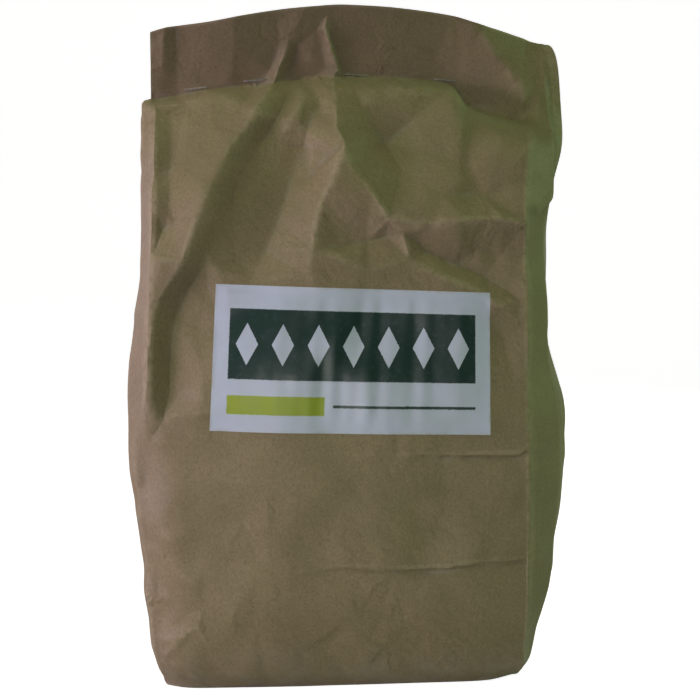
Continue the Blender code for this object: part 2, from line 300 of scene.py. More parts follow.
FRONT_CREASES = (
    # The long ridge from the pinched top down to the left fold, its foot, and the valley to its right
    ((-32, 351, 0.6), (-34.5, 343, 1.2), (-37.5, 336, 1.9), (-39.5, 330, 2.5), (-44, 322, 3.5),
     (-52, 310, 4.2), (-65, 292, 4.6), (-76, 271, 4.6), (-84, 252, 4.2), (-91, 232, 3.4), (-103, 213, 1.2)),
    ((-36.5, 351, -0.2), (-39, 343, -0.2), (-42.5, 335, 0.3), (-46, 329, 0.6), (-53, 321, 1.2),
     (-61, 311, 1.6), (-71, 300, 2.1)),
    ((-31, 327, -0.4), (-33, 321, -1.2), (-38, 310, -2.2), (-44.5, 300, -2.6), (-53, 290, -2.2),
     (-61, 275, -1), (-67, 260, -0.6)),
    ((-80, 230, -0.8), (-88, 216, -1.8), (-95, 201, -2.5), (-98, 178, -3), (-98, 163, -2.8),
     (-102, 146, -1.8), (-109, 136, -0.3)),
    # The short ridge between, and the foot of the light band
    ((-20, 328, 0.4), (-25, 319, 0.6), (-31, 309, 0.2), (-38.5, 297, -1.9), (-47, 285, -2.8)),
    ((-15, 322, 0.6), (-21, 309, -1.2), (-25, 295, -3.4), (-33, 273, -5.6), (-40, 251, -5.8), (-47, 236, -5),
     (-55, 221, -2.2)),
    # The crest of the light band, down to the pinch and on below it
    ((-6.5, 333.5, 2.2), (-7.5, 325, 2), (-7.5, 313, 2.3), (-8, 304, 3.1)),
    ((-8, 304, 3.1), (-4.5, 296, 3.4), (-4.5, 291, 4.8)),
    ((-4.5, 291, 4.8), (-9.5, 280, 3.8), (-17, 264, 2.6), (-21, 250, 2.2), (-23, 238, 1.8), (-25, 226, 1)),
    ((-4.5, 291, 4.8), (-1, 281, 4), (9, 268, 3.4), (18, 254, 2.5), (25, 247, 1.4)),
    # The shoulder under the left staples
    ((-106, 315, 1.6), (-81, 318.5, 2.1), (-66, 321, 2), (-57, 322.3, 1.6), (-51, 323, 1.6)),
    # The pinch: the light band tucked in under itself, and the swell below it
    ((-4.5, 296, 3.4), (-10.5, 289.5, -0.2), (-17.5, 282, -2.6), (-23, 277, -4.2)),
    ((-8, 304, 3.1), (-15, 298.5, 0.8), (-21, 293, -1.4)),
    ((-4.5, 291, 4.8), (-10.5, 285.5, 2.4), (-17, 278.5, 0), (-22, 272.5, -1.6)),
    # The hollow right of the crest, and the strip of shoulder under the middle staples
    ((4, 326, 0.2), (8, 314, -1.2), (14, 304, -4.4), (20, 295, -7.4), (26, 280, -3.6)),
    ((4, 327, 0.2), (15, 327, 0.8), (31, 326.5, 1.1), (47, 326, 0.6), (57, 324, 0.1)),
    ((10, 319, 0.2), (24, 319.5, -0.6), (40, 320.5, -1.5), (50, 321, -1.5)),
    ((50, 321, -1.5), (34, 307, -4.6), (20, 295, -7.4)),
    ((20, 295, -7.4), (41, 290, -3)),
    # The light patch under the right end of the staples
    ((68, 315, 0), (66.5, 300, 0.8), (65, 280, 0.3)),
    ((66.5, 300, 0.8), (82, 299, 3.2), (99, 295, 3.2)),
    # The buckle beside the right fold
    ((31, 243, -0.6), (42, 250.5, 2.4), (56, 253, 3.6), (78, 254, 3.8), (92, 251.5, 1.8)),
    ((31, 243, -0.6), (39, 236, -2.3), (55, 229, -3.5), (69, 223, -3.3), (81, 215.5, -2.1), (89, 210, -0.6)),
    ((66, 238, -1.6), (80, 235, -2.6), (91, 233.5, -2.2), (100, 236, -0.4)),
    ((95, 226, -1.2), (97, 208, 0.2)),
    ((29, 232, 0.4), (45, 224, 1), (62, 217, 1), (76, 209, 0.7), (86, 200, 0.3)),
    ((-8, 239, -1), (6, 242, -1.8), (17, 244.5, -1.4)),
    ((-28, 225, 0.3), (-16, 231.5, 1), (-12, 234.5, 1.4), (0, 230, 1.3), (7, 226.5, 0.6)),
    # The left fold, the hollow beside it and the small crease across
    ((-107, 308, 0.8), (-106.5, 290, 0.9), (-106.5, 272, 0.9), (-106.5, 259, 1), (-108, 246, 0.3),
     (-109, 232, 0.5), (-110, 216, 0.9)),
    ((-97, 312, 0.2), (-96.5, 300, -0.8), (-96.5, 280, -1.1), (-97.5, 261.5, 0.1)),
    ((-106.5, 259, 1), (-97.5, 261.5, 0.1), (-90, 263.5, 1.6), (-83, 267, 3.2)),
    ((-108, 246, 0.3), (-101, 248, -2.2), (-95, 252, -1.4), (-88, 257, 1.2)),
    ((-101, 248, -2.2), (-105, 236, -0.8)),
    ((-107, 200, 1.2), (-109, 180, 1.6), (-110, 160, 1.4), (-112, 142, 0.6)),
    # The crease under the staples
    ((-105, 319.5, 0), (-89, 322.5, 0), (-72, 325, 0), (-58, 327.2, 0), (-46, 329, 0.6), (-40, 329, 2.2),
     (-33, 330.5, -0.4), (-20, 331.5, 0.2), (-6.5, 333.5, 2.2), (-2, 332.5, 0), (10, 332, 0), (30, 331.5, 0),
     (50, 329.5, 0), (62, 327, 0), (70, 319, 0), (85, 312.5, 0), (99, 309.5, 0)),
    # The flattened top: its bent left corner, the edges of the tucked gusset, and the pleat
    ((-99, 357, 0.3), (-108, 344, -0.4)),
    ((-109, 354, -0.7), (-109, 350, -0.6)),
    ((-101, 350, 0.7), (-101, 336, 0.8), (-101, 323, 0.4)),
    ((-93, 357, -0.7), (-93, 340, -0.8), (-93, 325, -0.4)),
    ((-62, 364, 1), (-62.5, 346, 1.4), (-63.5, 331, 0.9)),
    ((-42, 369, -0.7), (-40, 360, -0.5), (-36.5, 351, -0.2)),
    ((-27, 349, -0.6), (-29, 341, -0.9), (-32, 334, -0.6)),
    ((-21, 344, 0.5), (-25, 337, 0)),
    ((-17.5, 357, -0.5), (-13.5, 346, -0.2), (-11, 337, 0.4)),
    ((-12.5, 359, 0.6), (-8.5, 347, 1.9), (-4.5, 336.5, 2.2), (-6.5, 333.5, 2.2)),
    ((-10.7, 359, -0.6), (-6.5, 347, -1.3), (-2.3, 336, -0.9), (-2, 332.5, 0)),
    ((-23, 369, -0.4), (-11, 365, -0.8)),
    ((20, 350, 0.2), (52, 345, -0.3), (60, 352, 0.2)),
)

FINE_CREASES = (
    # The fold marks across the belly, each a small step
    ((-30, 130, 0.1), (20, 129, 0.25), (49, 128.6, 0.4), (70, 128.4, 0.55), (87, 128.2, 0.65),
     (92, 131, 0.5)),
    ((-30, 128.6, -0.1), (20, 127.6, -0.2), (49, 127.3, -0.3), (70, 127.1, -0.45), (87, 126.9, -0.55),
     (92, 129.6, -0.3)),
    ((-33, 67, 0.1), (-9, 69.5, 0.3), (28, 68, 0.4), (42, 68, 0.5), (47, 67.6, 0.55), (52, 68, 0.5),
     (60, 69, 0.45), (68, 70, 0.4), (91, 70.5, 0.35)),
    ((-33, 65.6, -0.1), (-9, 68.2, -0.25), (28, 66.8, -0.35), (42, 66.8, -0.45), (52, 66.8, -0.45),
     (68, 68.8, -0.35), (91, 69.3, -0.3)),
    ((-101, 133, -0.4), (-96, 133, -0.4)),
    ((-56, 68, 0.35), (-53, 65, 0.3)),
    # The crumpled lower left corner
    ((-103, 78, 0.4), (-100, 86, 0.8), (-97, 92, 0.3)),
    ((-102, 65, 0.5), (-97, 68, 0.5)),
    ((-90, 52, 0.2), (-86, 61, 0.7), (-81, 68, 0.2)),
    ((-95, 38, -0.8), (-91, 43, -0.6)),
    ((-104, 16, 0.2), (-95, 30, 0.8), (-84, 38, 0.9), (-82, 48, 0.3)),
    ((-92, 17, 0.3), (-79, 27, 0.9), (-66, 32, 0.3)),
    ((-81, 37.5, 0.3), (-66, 47, 0.9), (-51, 52, 0.2)),
    ((-99, 11, -0.5), (-91, 8, -0.9), (-83, 4, -0.3)),
    ((-101, 23, -0.1), (-92, 26, 0)),
)

# The right gusset, as (depth, height): the tuck under the gable, and the creases lower down
RIGHT_CREASES = (
    ((-50, 268, 1.2), (-44, 266, 1.4), (-33, 257.5, 2.4), (-26, 264, 1.8), (-14, 268, 0.8)),
    ((-50, 265.5, -0.6), (-44, 263.5, -0.8), (-33, 254.5, -1.4), (-26, 261.5, -1), (-14, 265.5, -0.4)),
    ((-44, 232, -0.8), (-30, 240, -1.4), (-10, 236, 0.6)),
    ((-46, 87, 0.2), (-38, 75, 0.9), (-30, 62, 0.2)),
    ((-41, 88, -0.5), (-34, 77, -0.6)),
    ((-30, 136, -0.8), (-8, 132, -1.4), (14, 135, -0.6)),
    ((-44, 300, 0.3), (-10, 292, 1.4), (14, 300, 0.4)),
    ((-20, 205, 1), (4, 190, -1.2), (26, 204, 0.8)),
)

# The left gusset: the wrinkles where the fold gives way to the belly
LEFT_CREASES = (
    ((-42, 246, 0.1), (-30, 238, 0.4), (-18, 222, 0.3)),
    ((-44, 236, -0.6), (-34, 230, -0.9), (-24, 214, -0.4)),
    ((-46, 135, 0.3), (-20, 128, 1.2), (4, 133, 0.4)),
    ((-30, 90, 0.4), (-4, 82, -1), (20, 92, 0.6)),
    ((0, 180, -1.6), (2, 150, -1.2), (0, 120, -0.4)),
    ((-44, 40, 0.3), (-26, 22, 1.4), (-6, 30, 0.3)),
)

# The back, as the front but seen through the sack: the sags of its shoulder and its fold marks
BACK_CREASES = (
    ((-70, 322, 0.3), (-48, 296, 3), (-20, 270, 2.2), (4, 262, 0.5)),
    ((-52, 320, -0.5), (-30, 290, -2.6), (-6, 280, -1.2)),
    ((30, 322, 0.5), (24, 292, 2.8), (44, 262, 2.4), (78, 236, 0.8)),
    ((48, 318, -0.5), (44, 290, -2.4), (66, 262, -1.6)),
    ((-92, 240, 0.6), (-60, 246, -2.6), (-30, 238, -0.6)),
    ((-92, 128, -0.5), (-30, 130, -0.4), (10, 129, 0)),
    ((-80, 66, 0), (0, 68, -0.4), (80, 67, -0.3)),
    ((60, 40, 0.2), (84, 24, 1.2), (96, 10, 0.2)),
)


@dataclass(frozen=True)
class SackShape:
    """The filled sack before its creases. Knots are (height, half width or half depth) pairs."""

    crease_height: float = 0.332
    mouth_height: float = 0.3705
    corner_height: float = 0.3534
    left_fold: Knots = (
        (0, 0.0995), (0.012, 0.1025), (0.06, 0.1075), (0.1, 0.1105), (0.133, 0.1115), (0.16, 0.1095),
        (0.2, 0.1085), (0.25, 0.1065), (0.29, 0.1055), (0.325, 0.105), (0.332, 0.1072),
    )
    right_fold: Knots = (
        (0, 0.0915), (0.012, 0.0935), (0.06, 0.094), (0.13, 0.0925), (0.26, 0.092), (0.332, 0.0993),
    )
    left_side: Knots = (
        (0, 0.102), (0.012, 0.106), (0.06, 0.113), (0.12, 0.1185), (0.16, 0.1195), (0.2, 0.1175),
        (0.23, 0.113), (0.323, 0.1125), (0.33, 0.112), (0.332, 0.1072),
    )
    right_side: Knots = (
        (0, 0.096), (0.012, 0.104), (0.06, 0.1188), (0.1, 0.1235), (0.14, 0.1258), (0.185, 0.1145),
        (0.255, 0.1135), (0.3, 0.1205), (0.332, 0.121),
    )
    left_centre: Knots = (
        (0, 0.102), (0.06, 0.113), (0.14, 0.119), (0.2, 0.113), (0.245, 0.096), (0.285, 0.082),
        (0.3, 0.075), (0.332, 0.06),
    )
    right_centre: Knots = (
        (0, 0.096), (0.06, 0.118), (0.14, 0.1256), (0.19, 0.1145), (0.25, 0.1125), (0.3, 0.12),
        (0.332, 0.1235),
    )
    left_spread: float = 0.4
    left_mouth_spread: float = 0.57
    right_spread: float = 0.45
    right_bulge: float = 0.72
    right_mouth_bulge: float = 0.62
    left_depth: Knots = (
        (0, 0.0335), (0.012, 0.0405), (0.06, 0.0455), (0.13, 0.0465), (0.2, 0.044), (0.25, 0.038),
        (0.295, 0.022), (0.324, 0.0075), (0.332, 0.0014),
    )
    middle_depth: Knots = (
        (0, 0.036), (0.012, 0.0445), (0.06, 0.056), (0.13, 0.06), (0.2, 0.0535), (0.255, 0.0425),
        (0.3, 0.0255), (0.324, 0.0098), (0.332, 0.0014),
    )
    knee_depth: Knots = (
        (0, 0.036), (0.012, 0.0445), (0.06, 0.053), (0.13, 0.055), (0.2, 0.05), (0.255, 0.043),
        (0.3, 0.0285), (0.324, 0.011), (0.332, 0.0014),
    )
    right_depth: Knots = (
        (0, 0.0345), (0.012, 0.042), (0.06, 0.0495), (0.13, 0.0515), (0.2, 0.048), (0.26, 0.044),
        (0.305, 0.031), (0.332, 0.012),
    )
    depth_shares: tuple[float, ...] = (0, 0.42, 0.82, 1)
    back_share: float = 0.92
    crease_drop: Knots = (
        (0, 0.0125), (0.16, 0.0075), (0.33, 0.003), (0.42, 0.0005), (0.6, 0), (0.79, 0.003),
        (0.815, 0.005), (0.85, 0.014), (1, 0.024),
    )
    mouth_drop: Knots = (
        (0, 0.0172), (0.04, 0.0148), (0.15, 0.0113), (0.34, 0.0036), (0.42, 0.0015), (0.5, 0.0003),
        (0.62, 0.0007), (0.72, 0.002), (0.79, 0.0037), (0.87, 0.008), (0.93, 0.0109), (1, 0.0145),
    )
    drop_start: float = 0.45
    mouth_lean: float = 0.0165
    right_lean: float = -0.007
    lean_changes: Pair = (0.5, 0.85)
    tuck_levels: Pair = (0.86, 1)
    mouth_fold_x: float = 0.104
    mouth_corner_x: float = 0.1165
    mouth_edge_depth: float = 0.0024
    bend_line: Knots = ((0.064, 0.372), (0.0995, 0.324))
    bend_slope: float = 0.75
    bend_rounding: float = 0.004

    def bend_back(self, x: np.ndarray, height: np.ndarray) -> np.ndarray:
        """How far the right end of the flattened top is bent back.

        Args:
            x: places across.
            height: places upwards.

        Returns:
            The distance at each place.
        """
        start, end = np.array(self.bend_line)
        way = (end - start) / np.hypot(*(end - start))
        beyond = (x - start[0]) * -way[1] + (height - start[1]) * way[0]
        rounded = np.sqrt(beyond**2 + self.bend_rounding**2) - self.bend_rounding
        return self.bend_slope * np.where(beyond > 0, rounded, 0)

    def panel(self, share: np.ndarray, level: np.ndarray, outward: float) -> np.ndarray:
        """Points of the front or the back panel.

        Args:
            share: how far across, 0 at the left fold and 1 at the right.
            level: how far up.
            outward: -1 for the front, the back's share of the depth for the back.

        Returns:
            One point for each pair of share and level.
        """
        share, level = np.broadcast_arrays(np.asarray(share, float), np.asarray(level, float))
        body = np.minimum(level, 1) * self.crease_height
        top = np.maximum(level - 1, 0)
        left = along(self.left_fold, body)
        right = along(self.right_fold, body)
        right = right + (self.mouth_fold_x - right) * top
        x = (left + right) * share - left
        right_depth = along(self.right_depth, body)
        right_depth = right_depth + (self.mouth_edge_depth - right_depth) * top
        middle_depth = along(self.middle_depth, body)
        depths = (along(self.left_depth, body), middle_depth, along(self.knee_depth, body), right_depth)
        depth = smooth(np.array(self.depth_shares), np.stack(depths, -1), share)
        pinch = np.clip((level - self.drop_start) / (1 - self.drop_start), 0, 1) ** 2
        height = body - along(self.crease_drop, share) * pinch
        height = height + (self.mouth_height - along(self.mouth_drop, share) - height) * top
        lean = self.mouth_lean + self.right_lean * ramp(*self.lean_changes, share)
        plane = np.where(top > 0, self.bend_back(x, height), 0) - lean * top
        return np.stack([x, outward * depth + plane, height], -1)

    @staticmethod
    def gusset_half(fold: np.ndarray, widest: np.ndarray, centre: np.ndarray, tucked: np.ndarray,
                    way: np.ndarray) -> np.ndarray:
        """Rows of points from a panel's fold by the widest point to the gusset's centre fold.

        Args:
            fold: the fold's point in each row.
            widest: the widest point in each row.
            centre: the centre fold's point in each row.
            tucked: in each row 0 where the gusset bulges, 1 where it lies flat between the panels.
            way: places along the half, 0 at the fold and 1 at the centre.

        Returns:
            The points, by row and place.
        """
        first = np.linalg.norm(widest - fold, axis=-1)
        second = np.linalg.norm(centre - widest, axis=-1)
        least, most = 0.03, 0.9
        turn = np.clip(first / (first + second), least, most)[:, None]
        out = 1 - (1 - np.minimum(way / turn, 1)) ** 2
        inward = np.clip((way - turn) / (1 - turn), 0, 1)
        share = np.stack([inward ** (2 - tucked[:, None]), inward, inward], -1)
        reach = (widest - fold)[:, None] * out[..., None]
        return fold[:, None] + reach + (centre - widest)[:, None] * share

    def gusset(self, front_fold: np.ndarray, back_fold: np.ndarray, side: np.ndarray, centre: np.ndarray,
               spread: np.ndarray, tucked: np.ndarray, way: np.ndarray) -> np.ndarray:
        """Rows of points of a side gusset, from its front fold to its back fold, both left out.

        Args:
            front_fold: the front fold's point in each row.
            back_fold: the back fold's point in each row.
            side: the widest point's place across in each row.
            centre: the centre fold's place across and height in each row.
            spread: how near the middle the widest point lies in each row, 0 to 1.
            tucked: in each row 0 where the gusset bulges, 1 where it lies flat.
            way: places across the gusset, an odd number of them.

        Returns:
            The points, by row and place.
        """
        middle = (front_fold[:, 1] + back_fold[:, 1]) / 2
        centre = np.stack([centre[:, 0], middle, centre[:, 1]], -1)
        half = len(way) // 2
        halves = []
        for fold in (front_fold, back_fold):
            depth = fold[:, 1] + (middle - fold[:, 1]) * spread
            widest = np.stack([side, depth, (fold[:, 2] + centre[:, 2]) / 2], -1)
            halves.append(self.gusset_half(fold, widest, centre, tucked, 2 * way[1:half + 1]))
        return np.concatenate([halves[0], halves[1][:, -2::-1]], 1)

    def rings(self, levels: np.ndarray, shares: np.ndarray, back_shares: np.ndarray,
              way: np.ndarray) -> np.ndarray:
        """Closed rows of points round the sack: front, right gusset, back, left gusset.

        Args:
            levels: the level of each row.
            shares: places across the front, from the left fold to the right.
            back_shares: places across the back, likewise.
            way: places across both gussets, an odd number of them.

        Returns:
            The points, by row and column.
        """
        row = levels[:, None]
        front = self.panel(shares[None], row, -1)
        back = self.panel(back_shares[None], row, self.back_share)[:, ::-1]
        body = np.minimum(levels, 1) * self.crease_height
        top = np.maximum(levels - 1, 0)
        fold = front[:, -1]
        bulge = self.right_bulge + (self.right_mouth_bulge - self.right_bulge) * top
        side = fold[:, 0] + (along(self.right_side, body) - fold[:, 0]) * bulge
        corner = along(self.right_centre, body)
        corner = corner + (self.mouth_corner_x - corner) * top**2
        side = side + ((fold[:, 0] + corner) / 2 - side) * top
        corner_height = fold[:, 2] + (self.corner_height - fold[:, 2]) * top
        right = self.gusset(fold, back[:, 0], side, np.stack([corner, corner_height], -1),
                            np.full(len(levels), self.right_spread), np.zeros(len(levels)), way)
        centre_x = -along(self.left_centre, body)
        at_centre = [np.interp(x, line[:, 0], line[:, 2]) for x, line in zip(centre_x, front)]
        tucked = ramp(*self.tuck_levels, levels)
        centre_height = front[:, 0, 2] + (np.array(at_centre) - front[:, 0, 2]) * tucked
        spread = self.left_spread + (self.left_mouth_spread - self.left_spread) * tucked
        left = self.gusset(front[:, 0], back[:, -1], -along(self.left_side, body),
                           np.stack([centre_x, centre_height], -1), spread, tucked, way)
        for inner, line, share in zip(left, front, tucked):
            cut = np.interp(inner[:, 0], line[:, 0], line[:, 2])
            inner[:, 2] += (cut - inner[:, 2]) * share
        return np.concatenate([front, right, back, left[:, ::-1]], 1)


def add_mesh(name: str, points: np.ndarray, faces: Sequence[Sequence[int]]) -> bpy.types.Object:
    """Make a smooth-shaded object and link it to the scene.

    Args:
        name: the object's name.
        points: its points.
        faces: the numbers of the points of each face.

    Returns:
        The object.
    """
    mesh = bpy.data.meshes.new(name)
    mesh.from_pydata(points.tolist(), [], faces)
    mesh.shade_smooth()
    made = bpy.data.objects.new(name, mesh)
    bpy.context.scene.collection.objects.link(made)
    return made


def store(piece: bpy.types.Object, name: str, values: np.ndarray) -> None:
    """Keep one number for each vertex of a piece, for its material."""
    attribute = piece.data.attributes.new(name, "FLOAT", "POINT")
    attribute.data.foreach_set("value", np.ascontiguousarray(values, np.float32))


def zipped(near: Sequence[int], far: Sequence[int], near_at: Sequence[float],
           far_at: Sequence[float]) -> list[tuple[int, int, int]]:
    """Triangles between two rows of points that run the same way.

    Args:
        near: numbers of the points in the near row.
        far: numbers of the points in the far row.
        near_at: how far along its row each near point is.
        far_at: the same for the far points.

    Returns:
        The triangles, anticlockwise where the rows run right and the far one is above.
    """
    faces = []
    i = j = 0
    while i < len(near) - 1 or j < len(far) - 1:
        if j == len(far) - 1 or (i < len(near) - 1 and near_at[i + 1] <= far_at[j + 1]):
            faces.append((near[i], near[i + 1], far[j]))
            i += 1
        else:
            faces.append((near[i], far[j + 1], far[j]))
            j += 1
    return faces


def quads(rows: int, columns: int, start: int = 0, closed: bool = False) -> list[tuple[int, int, int, int]]:
    """Faces of a grid whose points are numbered row by row.

    Args:
        rows: rows of points.
        columns: points in each row.
        start: number of the first point.
        closed: whether each row runs round to its first point.

    Returns:
        The faces, anticlockwise where rows run right and up.
    """
    faces = []
    for r in range(rows - 1):
        for c in range(columns if closed else columns - 1):
            here, right = start + r * columns + c, start + r * columns + (c + 1) % columns
            faces.append((here, right, right + columns, here + columns))
    return faces


@dataclass
class PaperSack:
    """The sack itself: one skin of creased kraft paper, folded over at the bottom, open at the mouth."""

    shape: SackShape = field(default_factory=SackShape)
    # The grid
    across: int = 190
    back_across: int = 84
    round_gusset: int = 28
    body_rows: int = 224
    top_rows: int = 26
    inner_rows: int = 9
    front_crowding: float = 0.15
    back_crowding: float = 0.1
    gusset_crowding: float = 0.45
    lowest_rows: tuple[float, ...] = (0, 0.0003, 0.0009, 0.0016)
    first_row: float = 0.003
    paper: float = 0.35 * MM
    # The seam up the back, as shares of its width
    seam: Pair = (0.6, 0.72)
    seam_edge: float = 0.003
    seam_fade: float = 0.02
    seam_step: float = 0.4 * MM
    # Creases, in a field this many millimetres high
    facet_height: float = 372
    back_follows: float = 0.8
    crease_gain: float = 1.6
    belly_gain: float = 1.35
    mouth_turn: float = 14 * MM
    turned_part: Pair = (-0.08, 0.1)
    top_levels: Pair = (0.97, 1.02)
    crispness: float = 0.62
    shoulder_rounds: int = 7
    valley: Pair = (-0.062, 0.272)
    valley_reach: Pair = (0.036, 0.052)
    valley_softness: float = 0.85
    valley_rounds: int = 34
    fold_reach: float = 6 * MM
    soft_fold_heights: Pair = (0.11, 0.16)
    soft_fold_columns: tuple[int, int] = (3, 34)
    soft_fold_rounds: int = 240
    gusset_rounds: int = 60
    # The bottom
    bottom_radius: float = 2 * MM
    lifted_corner: float = 3.2 * MM
    worn_corner: Pair = (0.092, -0.034)
    worn_reach: Pair = (0.011, 0.012)
    flap_step: float = 0.4 * MM
    flap_ends: Pair = (-0.1, 0.092)
    flap_overlap: float = 0.011
    flap_slope: float = 0.95
    flap_rise: Pair = (0.02, 0.004)
    # Crumpled paper: how strongly each part shows it, and how much calmer some parts are
    front_handled: float = 0.85
    back_handled: float = 0.8
    corner_handled: float = 0.55
    lower_left: Pair = (-0.1, 0.04)
    lower_left_reach: float = 0.04
    lower_left_squash: float = 0.7
    belly_calm: float = 0.45
    belly_levels: Pair = (0.46, 0.36)
    top_calm: float = 0.6
    gusset_calm: float = 0.45
    handled_rounds: int = 6
    lump_rounds: int = 14
    crumple_rounds: int = 3
    sharp_angle: float = 26

    def __post_init__(self) -> None:
        """Lay out the grid that the skin is made of."""
        body = np.linspace(self.first_row, self.shape.crease_height, self.body_rows)
        body = np.concatenate([self.lowest_rows, body])
        top = np.linspace(1, 2, self.top_rows + 1)[1:]
        self.levels = np.concatenate([body / self.shape.crease_height, top])
        self.shares = crowded(self.across, self.front_crowding)
        by_seam = [edge + step for edge in self.seam for step in (-self.seam_edge, 0, self.seam_edge)]
        evenly = crowded(self.back_across - len(by_seam), self.back_crowding)
        self.back_shares = np.sort(np.concatenate([evenly, by_seam]))
        self.way = crowded(self.round_gusset, self.gusset_crowding)
        self.front = slice(0, self.across + 1)
        self.right = slice(self.across + 1, self.across + self.round_gusset)
        self.back = slice(self.right.stop, self.right.stop + self.back_across + 1)
        self.left = slice(self.back.stop, self.back.stop + self.round_gusset - 1)
        self.skin = self.shape.rings(self.levels, self.shares, self.back_shares, self.way)
        low = self.skin.min(axis=(0, 1))
        high = self.skin.max(axis=(0, 1))
        cad_low, cad_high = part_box("paper_sack")
        self.origin = np.array([(cad_low[i] + cad_high[i] - low[i] - high[i]) / 2 for i in (0, 1)] + [0])
        belly = self.skin[len(self.levels) // 3]
        steps = np.linalg.norm(np.roll(belly, -1, 0) - belly, axis=-1)
        self.width = steps.sum() / MM
        girth = np.concatenate([[0], np.cumsum(steps)[:-1]])
        self.girth = np.broadcast_to(girth[:, None], (*self.skin.shape[:2], 1)).copy()
        self.facets = self._facets_round(spacing=24, unrest=2.3, seed=31)

    def _facets_round(self, spacing: float, unrest: float, seed: int) -> FacetField:
        """Random facets all the way round the sack."""
        size = (self.width, self.facet_height)
        return FacetField((0, 0), size, spacing=spacing, unrest=unrest, seed=seed, wraps=True)

    @staticmethod
    def normals(skin: np.ndarray) -> np.ndarray:
        """Unit normals of the skin's grid, pointing outwards.

        Args:
            skin: the grid's points.

        Returns:
            One normal for each point.
        """
        across = np.roll(skin, -1, 1) - np.roll(skin, 1, 1)
        padded = extended(skin)
        return unit(np.cross(across, padded[2:] - padded[:-2]))

    def soften_left_fold(self, before: int, after: int, rounds: int, by_row: np.ndarray) -> None:
        """Round the skin over the left fold.

        Args:
            before: columns on the gusset's side.
            after: columns on the front's side.
            rounds: how many times it is softened.
            by_row: how much each row is softened, 0 to 1.
        """
        columns = self.skin.shape[1]
        window = np.zeros(columns)
        window[:after] = np.cos(np.arange(after) / after * pi / 2) ** 2
        window[columns - before:] = np.cos(np.arange(before, 0, -1) / (before + 1) * pi / 2) ** 2
        weight = (by_row[:, None] * window)[..., None]
        for _ in range(rounds):
            middle = (np.roll(self.skin, 1, 1) + np.roll(self.skin, -1, 1)) / 2
            self.skin = self.skin + weight * (middle - self.skin) / 2

    def soften_gusset_end(self) -> None:
        """Round the right gusset where it turns from the body into the flattened top."""
        below_mouth, reach = 0.06, 0.05
        away = (self.skin[..., 2] - self.skin[..., 2].max() + below_mouth) / reach
        window = np.cos(np.clip(away, -1, 1) * pi / 2) ** 2
        gusset = np.zeros(self.skin.shape[:2])
        gusset[:, self.right] = plateau(0.12, 0.88, self.way[1:-1])
        weight = (window * gusset)[..., None]
        for _ in range(self.gusset_rounds):
            padded = extended(self.skin)
            self.skin += weight * ((padded[2:] + padded[:-2]) / 2 - self.skin) / 2

    def settle(self, part: slice, places: np.ndarray, creased: FacetField) -> None:
        """Slide grid points along their rows or columns onto the fold lines nearest to them.

        Args:
            part: the columns that hold the creases.
            places: each point's place in the field's own two coordinates.
            creased: the field of creases.
        """
        moves = []
        margin, past_end = 2.5 * MM, 0.01
        for start, end in creased.folds():
            low = np.minimum(start, end) - margin
            high = np.maximum(start, end) + margin
            near = ((places > low) & (places < high)).all(-1)
            rows = np.flatnonzero(near.any(1))
            columns = np.flatnonzero(near.any(0))
            if len(rows) < 2 or len(columns) < 2:
                continue
            window = (slice(rows[0], rows[-1] + 1), slice(columns[0], columns[-1] + 1))
            nearby = places[window]
            way = end - start
            side = (nearby[..., 0] - start[0]) * way[1] - (nearby[..., 1] - start[1]) * way[0]
            step = np.array([0, 1]) if abs(way[1]) >= abs(way[0]) else np.array([1, 0])
            here = side[:side.shape[0] - step[0], :side.shape[1] - step[1]]
            there = side[step[0]:, step[1]:]
            found = np.argwhere(here * there < 0)
            share = (here / np.where(here == there, 1, here - there))[tuple(found.T)][:, None]
            ahead = found + step
            crossing = nearby[tuple(found.T)] * (1 - share) + nearby[tuple(ahead.T)] * share
            reached = (crossing - start) @ way / (way @ way)
            kept = (reached > -past_end) & (reached < 1 + past_end)
            found, ahead, share = found[kept], ahead[kept], share[kept]
            corner = np.array([rows[0], columns[0]])
            first, second = found + corner, ahead + corner
            nearest = np.where(share > 0.5, ahead, found) + corner
            free = ((nearest == 0) | (nearest == np.array(places.shape[:2]) - 1)) @ step == 0
            moves.append((nearest[free], first[free], second[free], share[free]))
        nearest, first, second, share = (np.concatenate(column) for column in zip(*moves))
        for values in (self.skin, self.girth):
            grid = values[:, part].copy()
            values[:, part][tuple(nearest.T)] = (
                grid[tuple(first.T)] * (1 - share) + grid[tuple(second.T)] * share)

    def press_creases(self) -> None:
        """Press the listed creases of the front, the back and both gussets into the skin."""
        for part in (self.front, self.back):
            places = np.stack([self.girth[:, part, 0], self.skin[:, part, 2]], -1)
            self.settle(part, places, self.facets)
        front = FacetField((-112, 0), (100, self.facet_height), FRONT_CREASES, seed=4)
        belly = FacetField((-112, 0), (96, 150), FINE_CREASES, spacing=17, clearance=7, unrest=0.4, seed=9)
        behind = FacetField((-108, 0), (100, 330), BACK_CREASES, spacing=24, unrest=0.5, seed=21)
        for part, creased in ((self.front, belly), (self.front, front), (self.back, behind)):
            self.settle(part, self.skin[:, part][..., (0, 2)], creased)
        self._press_front(front, belly)
        self._press_gussets()
        self._press_back(behind)

